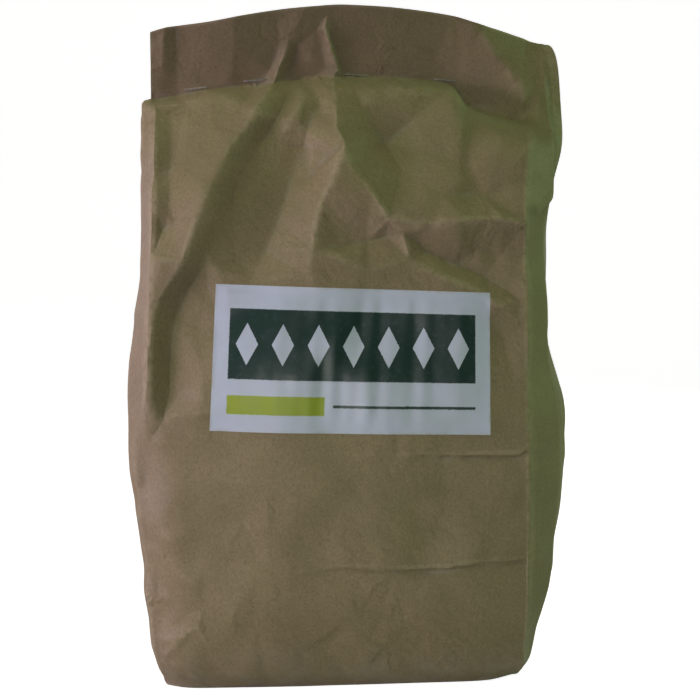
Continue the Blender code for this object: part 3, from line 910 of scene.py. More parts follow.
    def _press_front(self, front: FacetField, belly: FacetField) -> None:
        """Press the front's creases, which the whole flattened top follows.

        Args:
            front: the front panel's creases.
            belly: the fine creases low on the front.
        """
        x, y, z = np.moveaxis(self.skin, -1, 0)
        top = ramp(*self.top_levels, self.levels[:, None])
        relief = np.zeros(x.shape)
        relief[:, self.front] = front.at(x[:, self.front], z[:, self.front])
        self.split = self._best_split(relief[:, self.front], front)
        follows = np.zeros(x.shape)
        follows[:, self.front] = 1
        fade = 1 - (1 - self.back_follows) * self.way[1:-1]
        follows[:, self.right] = top * fade
        follows[:, self.left] = top * fade[::-1]
        follows[:, self.back] = top * self.back_follows
        flat = self.levels > 0.95
        for part in (self.right, self.back, self.left):
            relief[flat, part] = front.at(x[flat, part], z[flat, part])
        relief = relief * self.crease_gain - self.mouth_turn * top * ramp(*self.turned_part, x)
        relief = self.rounded(relief * follows)
        away_x = (x - self.valley[0]) / self.valley_reach[0]
        away_z = (z - self.valley[1]) / self.valley_reach[1]
        nearness = np.exp(-away_x**2 - away_z**2)
        nearness[:, self.across + 1:] = 0
        relief += self.valley_softness * nearness * (blurred(relief, self.valley_rounds) - relief)
        fine = np.zeros(x.shape)
        fine[:, self.front] = belly.at(x[:, self.front], z[:, self.front])
        relief += self.belly_gain * (fine - (1 - self.crispness) * (fine - blurred(fine, 1)))
        for part, fold in ((self.right, self.across), (self.left, 0)):
            from_fold = np.abs(y[:, part] - y[:, fold:fold + 1])
            carried = (1 - top) * np.exp(-from_fold / self.fold_reach)
            relief[:, part] += relief[:, fold:fold + 1] * carried
        self.skin[..., 1] -= relief

    def _press_gussets(self) -> None:
        """Press the creases of both gussets, away from their folds and their flattened ends."""
        right = FacetField((-50, 0), (48, 320), RIGHT_CREASES, spacing=18, clearance=9, unrest=0.7, seed=12)
        left = FacetField((-50, 0), (48, 320), LEFT_CREASES, spacing=20, clearance=10, unrest=0.7, seed=16)
        clear = plateau(0.07, 0.86, self.way[1:-1]) * (1 - ramp(0.9, 1, self.levels[:, None]))
        sides = ((self.right, right, 1, clear), (self.left, left, -1, clear[:, ::-1]))
        for part, creased, outwards, mask in sides:
            pressed = np.zeros(self.skin.shape[:2])
            pressed[:, part] = creased.at(self.skin[:, part, 1], self.skin[:, part, 2])
            self.skin[:, part, 0] += outwards * blurred(pressed, 1)[:, part] * mask

    def _press_back(self, behind: FacetField) -> None:
        """Press the back's creases, which end before its folds and its flattened top.

        Args:
            behind: the back's creases.
        """
        pressed = np.zeros(self.skin.shape[:2])
        pressed[:, self.back] = behind.at(self.skin[:, self.back, 0], self.skin[:, self.back, 2])
        clear = plateau(0.04, 0.96, self.back_shares[::-1])
        pressed[:, self.back] *= clear * (1 - ramp(0.93, 1, self.levels[:, None]))
        self.skin[..., 1] += self.rounded(pressed)

    def rounded(self, relief: np.ndarray) -> np.ndarray:
        """Relief whose folds keep a crisp line between soft shoulders."""
        soft = blurred(relief, self.shoulder_rounds)
        return soft + (relief - soft) * self.crispness

    def _best_split(self, relief: np.ndarray, creased: FacetField) -> np.ndarray:
        """Choose the diagonal of each face of the front that runs along the folds.

        Args:
            relief: the creases' relief at the front's points.
            creased: the same creases.

        Returns:
            Whether it runs from the lower left to the upper right.
        """
        x, z = self.skin[:, self.front, 0], self.skin[:, self.front, 2]
        corners = (slice(None, -1), slice(1, None))
        middle = creased.at(sum(x[r, c] for r in corners for c in corners) / 4,
                            sum(z[r, c] for r in corners for c in corners) / 4)
        rising = (relief[:-1, :-1] + relief[1:, 1:]) / 2
        falling = (relief[:-1, 1:] + relief[1:, :-1]) / 2
        return np.abs(rising - middle) < np.abs(falling - middle)

    def _skin_faces(self) -> list[tuple[int, ...]]:
        """List the skin's faces, those of the front split along its folds.

        Returns:
            The numbers of the points of each face.
        """
        faces: list[tuple[int, ...]] = []
        rows, columns = self.skin.shape[:2]
        for low, high, far_high, far_low in quads(rows, columns, closed=True):
            row, column = divmod(low, columns)
            if column >= self.across:
                faces.append((low, high, far_high, far_low))
            elif self.split[row, column]:
                faces += [(low, high, far_high), (low, far_high, far_low)]
            else:
                faces += [(low, high, far_low), (high, far_high, far_low)]
        return faces

    def crumple(self) -> None:
        """Give the whole skin the small random facets and the lumps of a handled, filled sack."""
        level = self.levels[:, None]
        s, z = self.girth[..., 0], self.skin[..., 2]
        small = self._facets_round(spacing=10, unrest=0.42, seed=32)
        lumps = self._facets_round(spacing=44, unrest=1.3, seed=33)
        handled = np.ones(s.shape)
        handled[:, self.front] = self.front_handled
        handled[:, self.back] = self.back_handled
        corner_x, corner_z = self.lower_left
        from_corner = np.hypot(self.skin[..., 0] - corner_x, (z - corner_z) * self.lower_left_squash)
        corner = from_corner / self.lower_left_reach
        handled[:, self.front] -= self.belly_calm * ramp(*self.belly_levels, level)
        handled = blurred(handled + self.corner_handled * np.exp(-corner**2), self.handled_rounds)
        flat = 1 - self.top_calm * ramp(*self.top_levels, level)
        soft = blurred(lumps.at(s, z), self.lump_rounds)
        soft = soft * (1 - ramp(0.85, 1, level)) * ramp(0, 0.08, level)
        creased = (self.facets.at(s, z) + small.at(s, z)) * handled
        crisp = np.full(s.shape, self.crispness)
        crisp[:, self.right] = 0
        crisp[:, self.left] = 0
        creased = creased - (1 - crisp) * (creased - blurred(creased, self.crumple_rounds))
        outline = np.ones(s.shape)
        outline[:, self.right] = self.gusset_calm * (1 - ramp(0.9, 1, level))
        outline[:, self.left] = outline[:, self.right]
        relief = (creased * flat + soft) * blurred(outline, self.crumple_rounds)
        relief *= ramp(0, 0.02, level)
        self.skin += self.normals(self.skin) * relief[..., None]
        self.handled = handled

    def glue_seam(self) -> None:
        """Raise the overlap of the glued seam that runs up the back."""
        share = self.back_shares[::-1]
        edge, glued_end = self.seam
        over = ramp(edge - self.seam_edge, edge, share) * ramp(glued_end + self.seam_fade, glued_end, share)
        self.skin[:, self.back, 1] += self.seam_step * over

    def shape_bottom(self) -> None:
        """Round the bottom edge and lift the worn right corner off the floor."""
        normal = self.normals(self.skin)
        normal[..., 2] = 0
        height = self.skin[..., 2]
        radius = self.bottom_radius
        inset = radius - np.sqrt(np.maximum(radius**2 - np.clip(radius - height, 0, radius) ** 2, 0))
        self.skin -= normal * inset[..., None]
        x, y, z = np.moveaxis(self.skin, -1, 0)
        corner = np.hypot(x - self.worn_corner[0], y - self.worn_corner[1])
        reach, fade = self.worn_reach
        self.skin[..., 2] += self.lifted_corner * np.exp(-((corner / reach) ** 2)) * np.exp(-z / fade)
        self.skin[..., 2] = np.maximum(self.skin[..., 2], 0)

    def bottom_points(self) -> np.ndarray:
        """Place the points of the folded bottom, from the front edge to the back edge.

        Returns:
            The points, by row and column.
        """
        edge = self.skin[0]
        front = edge[self.front]
        back = edge[self.back][::-1]
        right = np.concatenate([front[-1:], edge[self.right], back[-1:]])
        left = np.concatenate([front[:1], edge[self.left][::-1], back[:1]])
        front = np.stack([np.interp(self.back_shares, self.shares, front[:, i]) for i in range(3)], -1)
        s = self.back_shares[None, :, None]
        t = self.way[:, None, None]
        sides = (1 - s) * left[:, None] + s * right[:, None]
        corners = (1 - t) * ((1 - s) * front[0] + s * front[-1]) + t * ((1 - s) * back[0] + s * back[-1])
        points = (1 - t) * front[None] + t * back[None] + sides - corners
        x, y, z = np.moveaxis(points[1:-1, 1:-1], -1, 0)
        tip = np.minimum(x - self.flap_ends[0], self.flap_ends[1] - x)
        middle = (front[:, 1].mean() + back[:, 1].mean()) / 2
        slant = tip < np.abs(y - middle) * self.flap_slope
        upper = (y > middle - self.flap_overlap) & ~slant
        depth = np.where(upper, 0, np.where(slant, 2, 1)) * self.flap_step
        rise, start = self.flap_rise
        depth = blurred(depth, 1, wraps=False) * ramp(0, rise, tip + start)
        points[1:-1, 1:-1, 2] = np.maximum(z + depth, 0)
        return points

    def inner_skin(self) -> np.ndarray:
        """Place the inside of the paper at the mouth.

        Returns:
            Rows of points, from the cut edge down into the slit.
        """
        normals = self.normals(self.skin)
        normals = unit(np.stack([blurred(normals[..., i], 1) for i in range(3)], -1))
        inside = self.skin - normals * self.paper
        return inside[:-self.inner_rows - 1:-1]

    def build(self) -> bpy.types.Object:
        """Make the sack's mesh.

        Returns:
            The sack, with its bends kept for the material.
        """
        low = 1 - ramp(*self.soft_fold_heights, self.levels * self.shape.crease_height)
        self.soften_left_fold(*self.soft_fold_columns, self.soft_fold_rounds, low)
        self.press_creases()
        self.soften_gusset_end()
        self.glue_seam()
        self.crumple()
        self.shape_bottom()
        rows, columns = self.skin.shape[:2]
        points = [self.skin.reshape(-1, 3)]
        faces = self._skin_faces()
        rim = (rows - 1) * columns
        start = rows * columns
        inner = self.inner_skin()
        points.append(inner.reshape(-1, 3))
        beside = [(c, (c + 1) % columns) for c in range(columns)]
        faces += [(rim + c, rim + right, start + right, start + c) for c, right in beside]
        faces += quads(len(inner), columns, start, closed=True)
        lowest = start + (len(inner) - 1) * columns
        near = range(lowest, lowest + self.across + 1)
        far = range(lowest + self.back.stop - 1, lowest + self.back.start - 1, -1)
        faces += zipped(near, far, self.shares, self.back_shares)
        for part in (self.right, self.left):
            ends = (part.start - 1, *range(part.start, part.stop), part.stop % columns)
            faces.append(tuple(lowest + c for c in ends))
        start += inner.shape[0] * columns
        faces += self._bottom_faces(start)
        bottom = self.bottom_points()[1:-1, 1:-1]
        points.append(bottom.reshape(-1, 3))
        sack = add_mesh("sack", np.concatenate(points) + self.origin, faces)
        sack.data.set_sharp_from_angle(angle=radians(self.sharp_angle))
        skin_points = rows * columns
        for name, values, elsewhere in (("bend", self.bends(), 0), ("handled", self.handled, 1)):
            kept = np.full(len(sack.data.vertices), float(elsewhere))
            kept[:skin_points] = values.reshape(-1)
            store(sack, name, kept)
        edge = np.zeros(len(sack.data.vertices))
        edge[rim:rim + columns] = 1
        store(sack, "cut_edge", edge)
        return sack

    def _bottom_faces(self, start: int) -> list[tuple[int, ...]]:
        """List the faces of the folded bottom, seen from below.

        Args:
            start: number of the first of the bottom's own points.

        Returns:
            The faces, between the skin's lowest row and the bottom's own points.
        """
        last = self.back_across

        def number(row: int, column: int) -> int:
            """Find a point of the bottom's grid.

            Args:
                row: its row, 0 at the front edge.
                column: its column, 0 at the left edge.

            Returns:
                The point's number in the mesh.
            """
            if row == self.round_gusset:
                return self.back.stop - 1 - column
            if column == 0:
                return self.left.stop - row
            if column == last:
                return self.right.start + row - 1
            return start + (row - 1) * (last - 1) + column - 1

        first_row = [number(1, c) for c in range(last + 1)]
        front_edge = zipped(range(self.across + 1), first_row, self.shares, self.back_shares)
        return [face[::-1] for face in front_edge] + [
            (number(r, c), number(r + 1, c), number(r + 1, c + 1), number(r, c + 1))
            for r in range(1, self.round_gusset) for c in range(last)
        ]

    def bends(self) -> np.ndarray:
        """Measure how sharply the skin turns.

        Returns:
            A value for each point, above 0 on ridges and below 0 in hollows.
        """
        normal = self.normals(self.skin)
        turn = np.zeros(self.skin.shape)
        padded = extended(self.skin)
        for other in (np.roll(self.skin, -1, 1), np.roll(self.skin, 1, 1), padded[2:], padded[:-2]):
            turn += unit(other - self.skin)
        return blurred(-(turn * normal).sum(-1), 1)


class LooseCorner(Enum):
    """Corner of the sticker that has come a little unstuck, as its place across and up."""

    LOWER_LEFT = (0, 0)
    LOWER_RIGHT = (1, 0)
    UPPER_RIGHT = (1, 1)


@dataclass
class Sticker:
    """The printed paper sticker, which follows the paper under it but bridges its smallest creases."""

    corners: Knots = ((-0.0775, 0.143), (0.0715, 0.139), (0.072, 0.2145), (-0.0735, 0.2195))
    across: int = 112
    up: int = 58
    thickness: float = 0.12 * MM
    lift: float = 0.1 * MM
    ripple: float = 0.75 * MM
    broad_ripples: float = 9.3
    narrow_ripples: float = 15.1
    narrow_share: float = 0.7
    least_ripple: float = 0.35
    # How many times the rim where the ripples die out fits across and up
    rims: Pair = (12, 6.4)
    stiff_rounds: int = 9
    loose: LooseCorner = LooseCorner.LOWER_RIGHT
    loose_by: float = 0.7 * MM
    loose_reach: float = 0.12
    aspect: float = 2.0
    sharp_angle: float = 50

    def height_of(self, u: np.ndarray, v: np.ndarray) -> np.ndarray:
        """Soft vertical ripples where the sticker was smoothed down.

        Args:
            u: places across, 0 to 1.
            v: places upwards, 0 to 1.

        Returns:
            The height at each place, 0 to 1.
        """
        broad = np.sin(2 * pi * (u * self.broad_ripples + 0.22 * np.sin(3.1 * v + 0.6)))
        narrow = np.sin(2 * pi * (u * self.narrow_ripples - 0.3 * v))
        wave = (broad + self.narrow_share * narrow) / (1 + self.narrow_share)
        strength = np.sin(pi * np.clip(u * 1.15 - 0.1, 0, 1)) ** 2
        return (0.5 + wave / 2) * (self.least_ripple + (1 - self.least_ripple) * strength)

    def build(self, sack: BVHTree, origin: np.ndarray) -> bpy.types.Object:
        """Lay the sticker on the sack.

        Args:
            sack: the sack's finished surface.
            origin: what was added to the sack's own coordinates.

        Returns:
            The sticker, with its place in the print kept for the material.
        """
        low_left, low_right, high_right, high_left = (np.array(c) for c in self.corners)
        u, v = np.meshgrid(np.linspace(0, 1, self.across + 1), np.linspace(0, 1, self.up + 1))
        s, t = u[..., None], v[..., None]
        flat = (1 - t) * ((1 - s) * low_left + s * low_right) + t * ((1 - s) * high_left + s * high_right)
        x = flat[..., 0] + origin[0]
        z = flat[..., 1]
        paper = np.array([
            [sack.ray_cast(Vector((px, -1, pz)), Vector((0, 1, 0)))[0].y for px, pz in zip(*row)]
            for row in zip(x, z)
        ])
        stiff = blurred(paper, self.stiff_rounds, wraps=False)
        wide, high = self.rims
        from_rim = np.minimum.reduce([u * wide, (1 - u) * wide, v * high, (1 - v) * high])
        stiff = stiff - self.ripple * self.height_of(u, v) * ramp(0, 1, from_rim)
        under = np.minimum(stiff, paper) - self.lift
        corner = self.loose.value
        away = np.hypot((u - corner[0]) * self.aspect, v - corner[1])
        under -= self.loose_by * np.exp(-((away / self.loose_reach) ** 2))
        back = np.stack([x, under, z], -1).reshape(-1, 3)
        front = np.stack([x, under - self.thickness, z], -1).reshape(-1, 3)
        count, row = len(front), self.across + 1
        faces = quads(self.up + 1, row)
        faces += [tuple(count + i for i in reversed(face)) for face in faces]
        rim = list(range(row)) + [r * row + self.across for r in range(1, self.up + 1)]
        rim += [self.up * row + c for c in range(self.across - 1, -1, -1)]
        rim += [r * row for r in range(self.up - 1, 0, -1)]
        faces += [(a, count + a, count + b, b) for a, b in zip(rim, rim[1:] + rim[:1])]
        label = add_mesh("front_label", np.concatenate([front, back]), faces)
        label.data.set_sharp_from_angle(angle=radians(self.sharp_angle))
        for name, values in (("print_across", u), ("print_up", v)):
            store(label, name, np.tile(values.reshape(-1), 2))
        return label


@dataclass
class Staple:
    """One office staple of flattened wire, driven through the flattened top and clinched behind it."""

    name: str
    tilt: float
    shift: Pair = (0, 0)
    crown: float = 12.8 * MM
    clinch: float = 4.8 * MM
    width: float = 0.7 * MM
    thickness: float = 0.5 * MM
    bend: float = 0.9 * MM
    stand_off: float = 0.45
    hump: float = 0.0004
    tip_taper: float = 0.75
    sides: int = 12
    sharp_angle: float = 40

    def route(self, sack: BVHTree, centre: Vector) -> list[Vector]:
        """Lay the wire out, from one clinched end over the crown to the other.

        Args:
            sack: the sack's finished surface.
            centre: the middle of the staple on the flattened top.

        Returns:
            Points along the wire.
        """
        along_x = Vector((cos(radians(self.tilt)), 0, sin(radians(self.tilt))))
        half = self.crown / 2 - self.thickness / 2

        def face(offset: float, depth: float) -> Vector:
            """Find the paper beside the wire.

            Args:
                offset: how far along the staple, from its middle.
                depth: -1 in front of the paper, 1 behind it.

            Returns:
                The wire's place there.
            """
            at = centre + along_x * offset
            hit = sack.ray_cast(Vector((at.x, depth, at.z)), Vector((0, -depth, 0)))[0]
            return Vector((at.x, hit.y + depth * self.thickness * self.stand_off, at.z))

        left, right = face(-half, -1), face(half, -1)
        crown = [left.lerp(right, i / 10) for i in range(11)]
        behind = [face(-half, 1), face(half, 1)]
        tail = [face(-half + self.clinch, 1), face(half - self.clinch, 1)]
        start = [tail[0].lerp(behind[0], i / 5) + Vector((0, self.hump * i / 5, 0)) for i in range(6)]
        end = [behind[1].lerp(tail[1], i / 5) + Vector((0, self.hump * (5 - i) / 5, 0)) for i in range(6)]
        return start + crown + end

    def build(self, sack: BVHTree, centre: Vector) -> bpy.types.Object:
        """Bend the wire.

        Args:
            sack: the sack's finished surface.
            centre: the middle of the staple on the flattened top.

        Returns:
            The staple.
        """
        route = rounded_route(self.route(sack, centre), self.bend)
        points: list[Vector] = []
        flat = Vector((-sin(radians(self.tilt)), 0, cos(radians(self.tilt))))
        for i, point in enumerate(route):
            way = (route[min(i + 1, len(route) - 1)] - route[max(i - 1, 0)]).normalized()
            across = (flat - way * flat.dot(way)).normalized()
            out = way.cross(across)
            taper = self.tip_taper if i in (0, len(route) - 1) else 1
            for k in range(self.sides):
                angle = 2 * pi * k / self.sides
                square = abs(cos(angle)) ** 4 + abs(sin(angle)) ** 4
                reach = taper * square ** -0.25 / 2
                points.append(point + across * (self.width * reach * cos(angle))
                              + out * (self.thickness * reach * sin(angle)))
        faces = quads(len(route), self.sides, closed=True)
        faces += [tuple(range(self.sides - 1, -1, -1)), tuple(range(len(points) - self.sides, len(points)))]
        staple = add_mesh(self.name, np.array(points), faces)
        staple.data.set_sharp_from_angle(angle=radians(self.sharp_angle))
        return staple


def rounded_route(route: list[Vector], radius: float) -> list[Vector]:
    """A route whose sharp corners are rounded.

    Args:
        route: points along it.
        radius: how far from a sharp corner the rounding starts.

    Returns:
        The points, with an arc in place of each sharp corner.
    """
    least_angle, most_of_side = 0.5, 0.48
    made = [route[0]]
    for before, corner, after in zip(route, route[1:], route[2:]):
        into, out = corner - before, after - corner
        if into.angle(out) < least_angle:
            made.append(corner)
            continue
        start = corner - into.normalized() * min(radius, into.length * most_of_side)
        end = corner + out.normalized() * min(radius, out.length * most_of_side)
        made += [start.lerp(corner, t).lerp(corner.lerp(end, t), t) for t in (0, 0.2, 0.4, 0.6, 0.8, 1)]
    return made + [route[-1]]


@dataclass
class Graph:
    """Adds nodes to a tree and joins them as they are made."""

    tree: bpy.types.NodeTree

    def node(self, kind: str, inputs: dict | None = None, **settings: object) -> bpy.types.Node:
        """Add a node.

        Args:
            kind: the node's type, without its ShaderNode prefix.
            inputs: values or sockets for its inputs, by name or place.
            settings: its properties.

        Returns:
            The node.
        """
        made = self.tree.nodes.new("ShaderNode" + kind)
        for name, value in settings.items():
            setattr(made, name, value)
        self.feed(made, inputs or {})
        return made

    def feed(self, node: bpy.types.Node, inputs: dict) -> None:
        """Set or join a node's inputs.

        Args:
            node: the node.
            inputs: a value or a socket for each input, by name or place.
        """
        for key, value in inputs.items():
            if isinstance(value, Socket):
                self.tree.links.new(value, node.inputs[key])
            else:
                node.inputs[key].default_value = value

    def math(self, operation: str, *values: object) -> Socket:
        """The result of a Math node."""
        return self.node("Math", dict(enumerate(values)), operation=operation).outputs[0]

    def plus(self, first: object, second: object) -> Socket:
        """The sum of two values."""
        return self.math("ADD", first, second)

    def minus(self, first: object, second: object) -> Socket:
        """The first value less the second."""
        return self.math("SUBTRACT", first, second)

    def times(self, first: object, second: object) -> Socket:
        """The product of two values."""
        return self.math("MULTIPLY", first, second)

    def most(self, first: object, second: object) -> Socket:
        """The larger of two values."""
        return self.math("MAXIMUM", first, second)

    def noise(self, vector: Socket, scale: object, detail: float = 3, roughness: float = 0.55,
              distortion: float = 0) -> Socket:
        """The value of a Noise Texture, about 0.5 on average.

        Args:
            vector: where it is read.
            scale: how fine it is.
            detail: how many finer layers it has.
            roughness: how strong those layers are.
            distortion: how much it is warped.

        Returns:
            The value.
        """
        inputs = {"Vector": vector, "Scale": scale, "Detail": detail, "Roughness": roughness,
                  "Distortion": distortion}
        return self.node("TexNoise", inputs).outputs["Fac"]

    def steps(self, value: object, start: object, end: object, low: float = 0, high: float = 1) -> Socket:
        """A value taken smoothly from low at start to high at end."""
        inputs = {"Value": value, "From Min": start, "From Max": end, "To Min": low, "To Max": high}
        return self.node("MapRange", inputs, interpolation_type="SMOOTHSTEP").outputs["Result"]

    def mix(self, share: object, first: object, second: object) -> Socket:
        """A share of the second colour mixed into the first."""
        colours = [(*colour, 1) if isinstance(colour, tuple) else colour for colour in (first, second)]
        return self.node("Mix", {0: share, 6: colours[0], 7: colours[1]}, data_type="RGBA").outputs[2]

    def layered(self, colour: object, layers: Sequence[tuple[object, object]]) -> Socket:
        """A colour with others mixed over it in turn, each by its own mask."""
        for mask, over in layers:
            colour = self.mix(mask, colour, over)
        return colour

    def stretched(self, vector: Socket, scale: Point, turn: Point = (0, 0, 0)) -> Socket:
        """Coordinates turned and scaled differently along each axis."""
        return self.node("Mapping", {"Vector": vector, "Scale": scale, "Rotation": turn}).outputs[0]

    def scaled(self, vector: Socket, scale: object) -> Socket:
        """Coordinates scaled alike along each axis."""
        return self.node("VectorMath", {0: vector, 3: scale}, operation="SCALE").outputs[0]

    def read(self, attribute: str) -> Socket:
        """A number kept on the mesh."""
        return self.node("Attribute", attribute_name=attribute).outputs["Fac"]

    def effect(self, tree: bpy.types.NodeTree, inputs: dict) -> bpy.types.Node:
        """A shared effect's node group, with its inputs set or joined."""
        return self.node("Group", inputs, node_tree=tree)

    def bump(self, strength: float, depth: float, height: Socket, under: Socket | None = None) -> Socket:
        """A normal bent by a height.

        Args:
            strength: share of the bump that shows.
            depth: how high the relief is, in metres.
            height: the relief, about 0 to 1.
            under: a broader bump that this one lies on.

        Returns:
            The normal.
        """
        inputs = {"Strength": strength, "Distance": depth, "Height": height}
        if under is not None:
            inputs["Normal"] = under
        return self.node("Bump", inputs).outputs[0]


def group(name: str, inputs: dict[str, float | None],
          outputs: Sequence[str]) -> tuple[Graph, bpy.types.Node, bpy.types.Node]:
    """Start a shader node group of number sockets.

    Args:
        name: the group's name.
        inputs: each input's name and usual value, None for a vector.
        outputs: the names of its outputs.

    Returns:
        Its graph, its input node and its output node.
    """
    tree = bpy.data.node_groups.new(name, "ShaderNodeTree")
    for title, value in inputs.items():
        kind = "NodeSocketVector" if value is None else "NodeSocketFloat"
        socket = tree.interface.new_socket(title, in_out="INPUT", socket_type=kind)
        if value is not None:
            socket.default_value = value
    for title in outputs:
        tree.interface.new_socket(title, in_out="OUTPUT", socket_type="NodeSocketFloat")
    return Graph(tree), tree.nodes.new("NodeGroupInput"), tree.nodes.new("NodeGroupOutput")


class SharedEffects:
    """The node groups that more than one finish uses."""

    def __init__(self) -> None:
        """Build each group once."""
        self.grain = self._grain()
        self.crinkle = self._crinkle()
        self.wear = self._wear()
        self.dust = self._dust()

    @staticmethod
    def _grain() -> bpy.types.NodeTree:
        """Paper's fibres, its cloudy tone and its dark specks.

        Returns:
            The node group.
        """
        outputs = ("Tone", "Fibre", "Speck", "Height")
        graph, given, result = group("paper_grain", {"Vector": None, "Scale": 1}, outputs)
        vector = graph.scaled(given.outputs[0], given.outputs[1])
        cloud = graph.noise(vector, 38, 5, 0.62)
        patch = graph.noise(vector, 9, 3, 0.5, 0.6)
        tone = graph.plus(graph.times(cloud, 0.6), graph.times(patch, 0.4))
        strands = []
        for turn in ((0.15, 0.1, 0.0), (0.5, -0.4, 0.3), (-0.35, 0.7, -0.2)):
            strands.append(graph.noise(graph.stretched(vector, (2400, 2400, 260), turn), 1, 2, 0.5, 0.8))
        fibre = graph.most(graph.most(strands[0], strands[1]), strands[2])
        fibre = graph.steps(fibre, 0.52, 0.78)
        cells = graph.node("TexVoronoi", {"Vector": graph.stretched(vector, (1, 1, 0.6)), "Scale": 310})
        few = graph.steps(graph.noise(vector, 120, 2), 0.52, 0.66)
        speck = graph.times(graph.steps(cells.outputs["Distance"], 0.3, 0.12), few)
        rough = graph.noise(vector, 900, 3, 0.6)
        height = graph.plus(graph.times(fibre, 0.5), graph.times(rough, 0.6))
        graph.feed(result, {"Tone": tone, "Fibre": fibre, "Speck": speck, "Height": height})
        return graph.tree

    @staticmethod
    def _crinkle() -> bpy.types.NodeTree:
        """Small creases of handled paper, too fine for the mesh.

        Returns:
            The node group.
        """
        inputs = {"Vector": None, "Scale": 1, "Amount": 1}
        graph, given, result = group("paper_crinkle", inputs, ("Height", "Lines"))
        vector = graph.scaled(given.outputs[0], given.outputs[1])
        warp = graph.node("TexNoise", {"Vector": vector, "Scale": 45, "Detail": 3}).outputs["Color"]
        shifted = graph.node("VectorMath", {0: warp, 1: (0.5, 0.5, 0.5)}, operation="SUBTRACT").outputs[0]
        shifted = graph.scaled(shifted, 0.016)
        shifted = graph.node("VectorMath", {0: vector, 1: shifted}, operation="ADD").outputs[0]
        height: object = 0.0
        lines: object = 0.0
        for scale, size in ((75, 1.0), (170, 0.5)):
            cells = {"Vector": shifted, "Scale": scale}
            edge = graph.node("TexVoronoi", cells, feature="DISTANCE_TO_EDGE").outputs["Distance"]
            height = graph.plus(height, graph.times(graph.steps(edge, 0, 0.34), size))
            lines = graph.plus(lines, graph.times(graph.steps(edge, 0.045, 0), size))
        worn = graph.steps(graph.noise(vector, 26, 3), 0.42, 0.68, 0.15, 1)
        soft = graph.noise(vector, 60, 4, 0.5)
        height = graph.plus(graph.times(height, worn), soft)
        height = graph.times(height, given.outputs[2])
        lines = graph.times(graph.times(lines, worn), given.outputs[2])
        graph.feed(result, {"Height": height, "Lines": lines})
        return graph.tree

    @staticmethod
    def _wear() -> bpy.types.NodeTree:
        """Where an edge or a ridge is rubbed, from how sharply the surface bends.

        Returns:
            The node group.
        """
        inputs = {"Vector": None, "Bend": 0, "Start": 0.1, "End": 0.5, "Scale": 260}
        graph, given, result = group("rubbed_edges", inputs, ("Mask",))
        broken = graph.steps(graph.noise(given.outputs[0], given.outputs["Scale"], 4, 0.65), 0.3, 0.62)
        bent = {"Value": given.outputs[1], "From Min": given.outputs["Start"],
                "From Max": given.outputs["End"]}
        rubbed = graph.node("MapRange", bent).outputs["Result"]
        graph.feed(result, {"Mask": graph.times(broken, rubbed)})
        return graph.tree

    @staticmethod
    def _dust() -> bpy.types.NodeTree:
        """Pale cement dust: a film low down, and what has settled in the hollows.

        Returns:
            The node group.
        """
        graph, given, result = group("cement_dust", {"Vector": None, "Hollow": 0, "Reach": 0.05}, ("Mask",))
        up = graph.node("SeparateXYZ", {0: given.outputs[0]}).outputs["Z"]
        low = graph.minus(1, graph.math("DIVIDE", up, given.outputs["Reach"]))
        low = graph.node("Clamp", {0: low}).outputs[0]
        clouds = graph.noise(given.outputs[0], 70, 5, 0.7)
        film = graph.times(low, graph.steps(clouds, 0.35, 0.65))
        settled = graph.times(given.outputs["Hollow"], graph.steps(clouds, 0.4, 0.7))
        graph.feed(result, {"Mask": graph.most(film, settled)})
        return graph.tree


def new_material(name: str) -> tuple[bpy.types.Material, Graph, bpy.types.Node]:
    """Start a material.

    Args:
        name: its name.

    Returns:
        The material, its graph and its one Principled BSDF.
    """
    material = bpy.data.materials.new(name)
    material.use_nodes = True
    return material, Graph(material.node_tree), material.node_tree.nodes["Principled BSDF"]


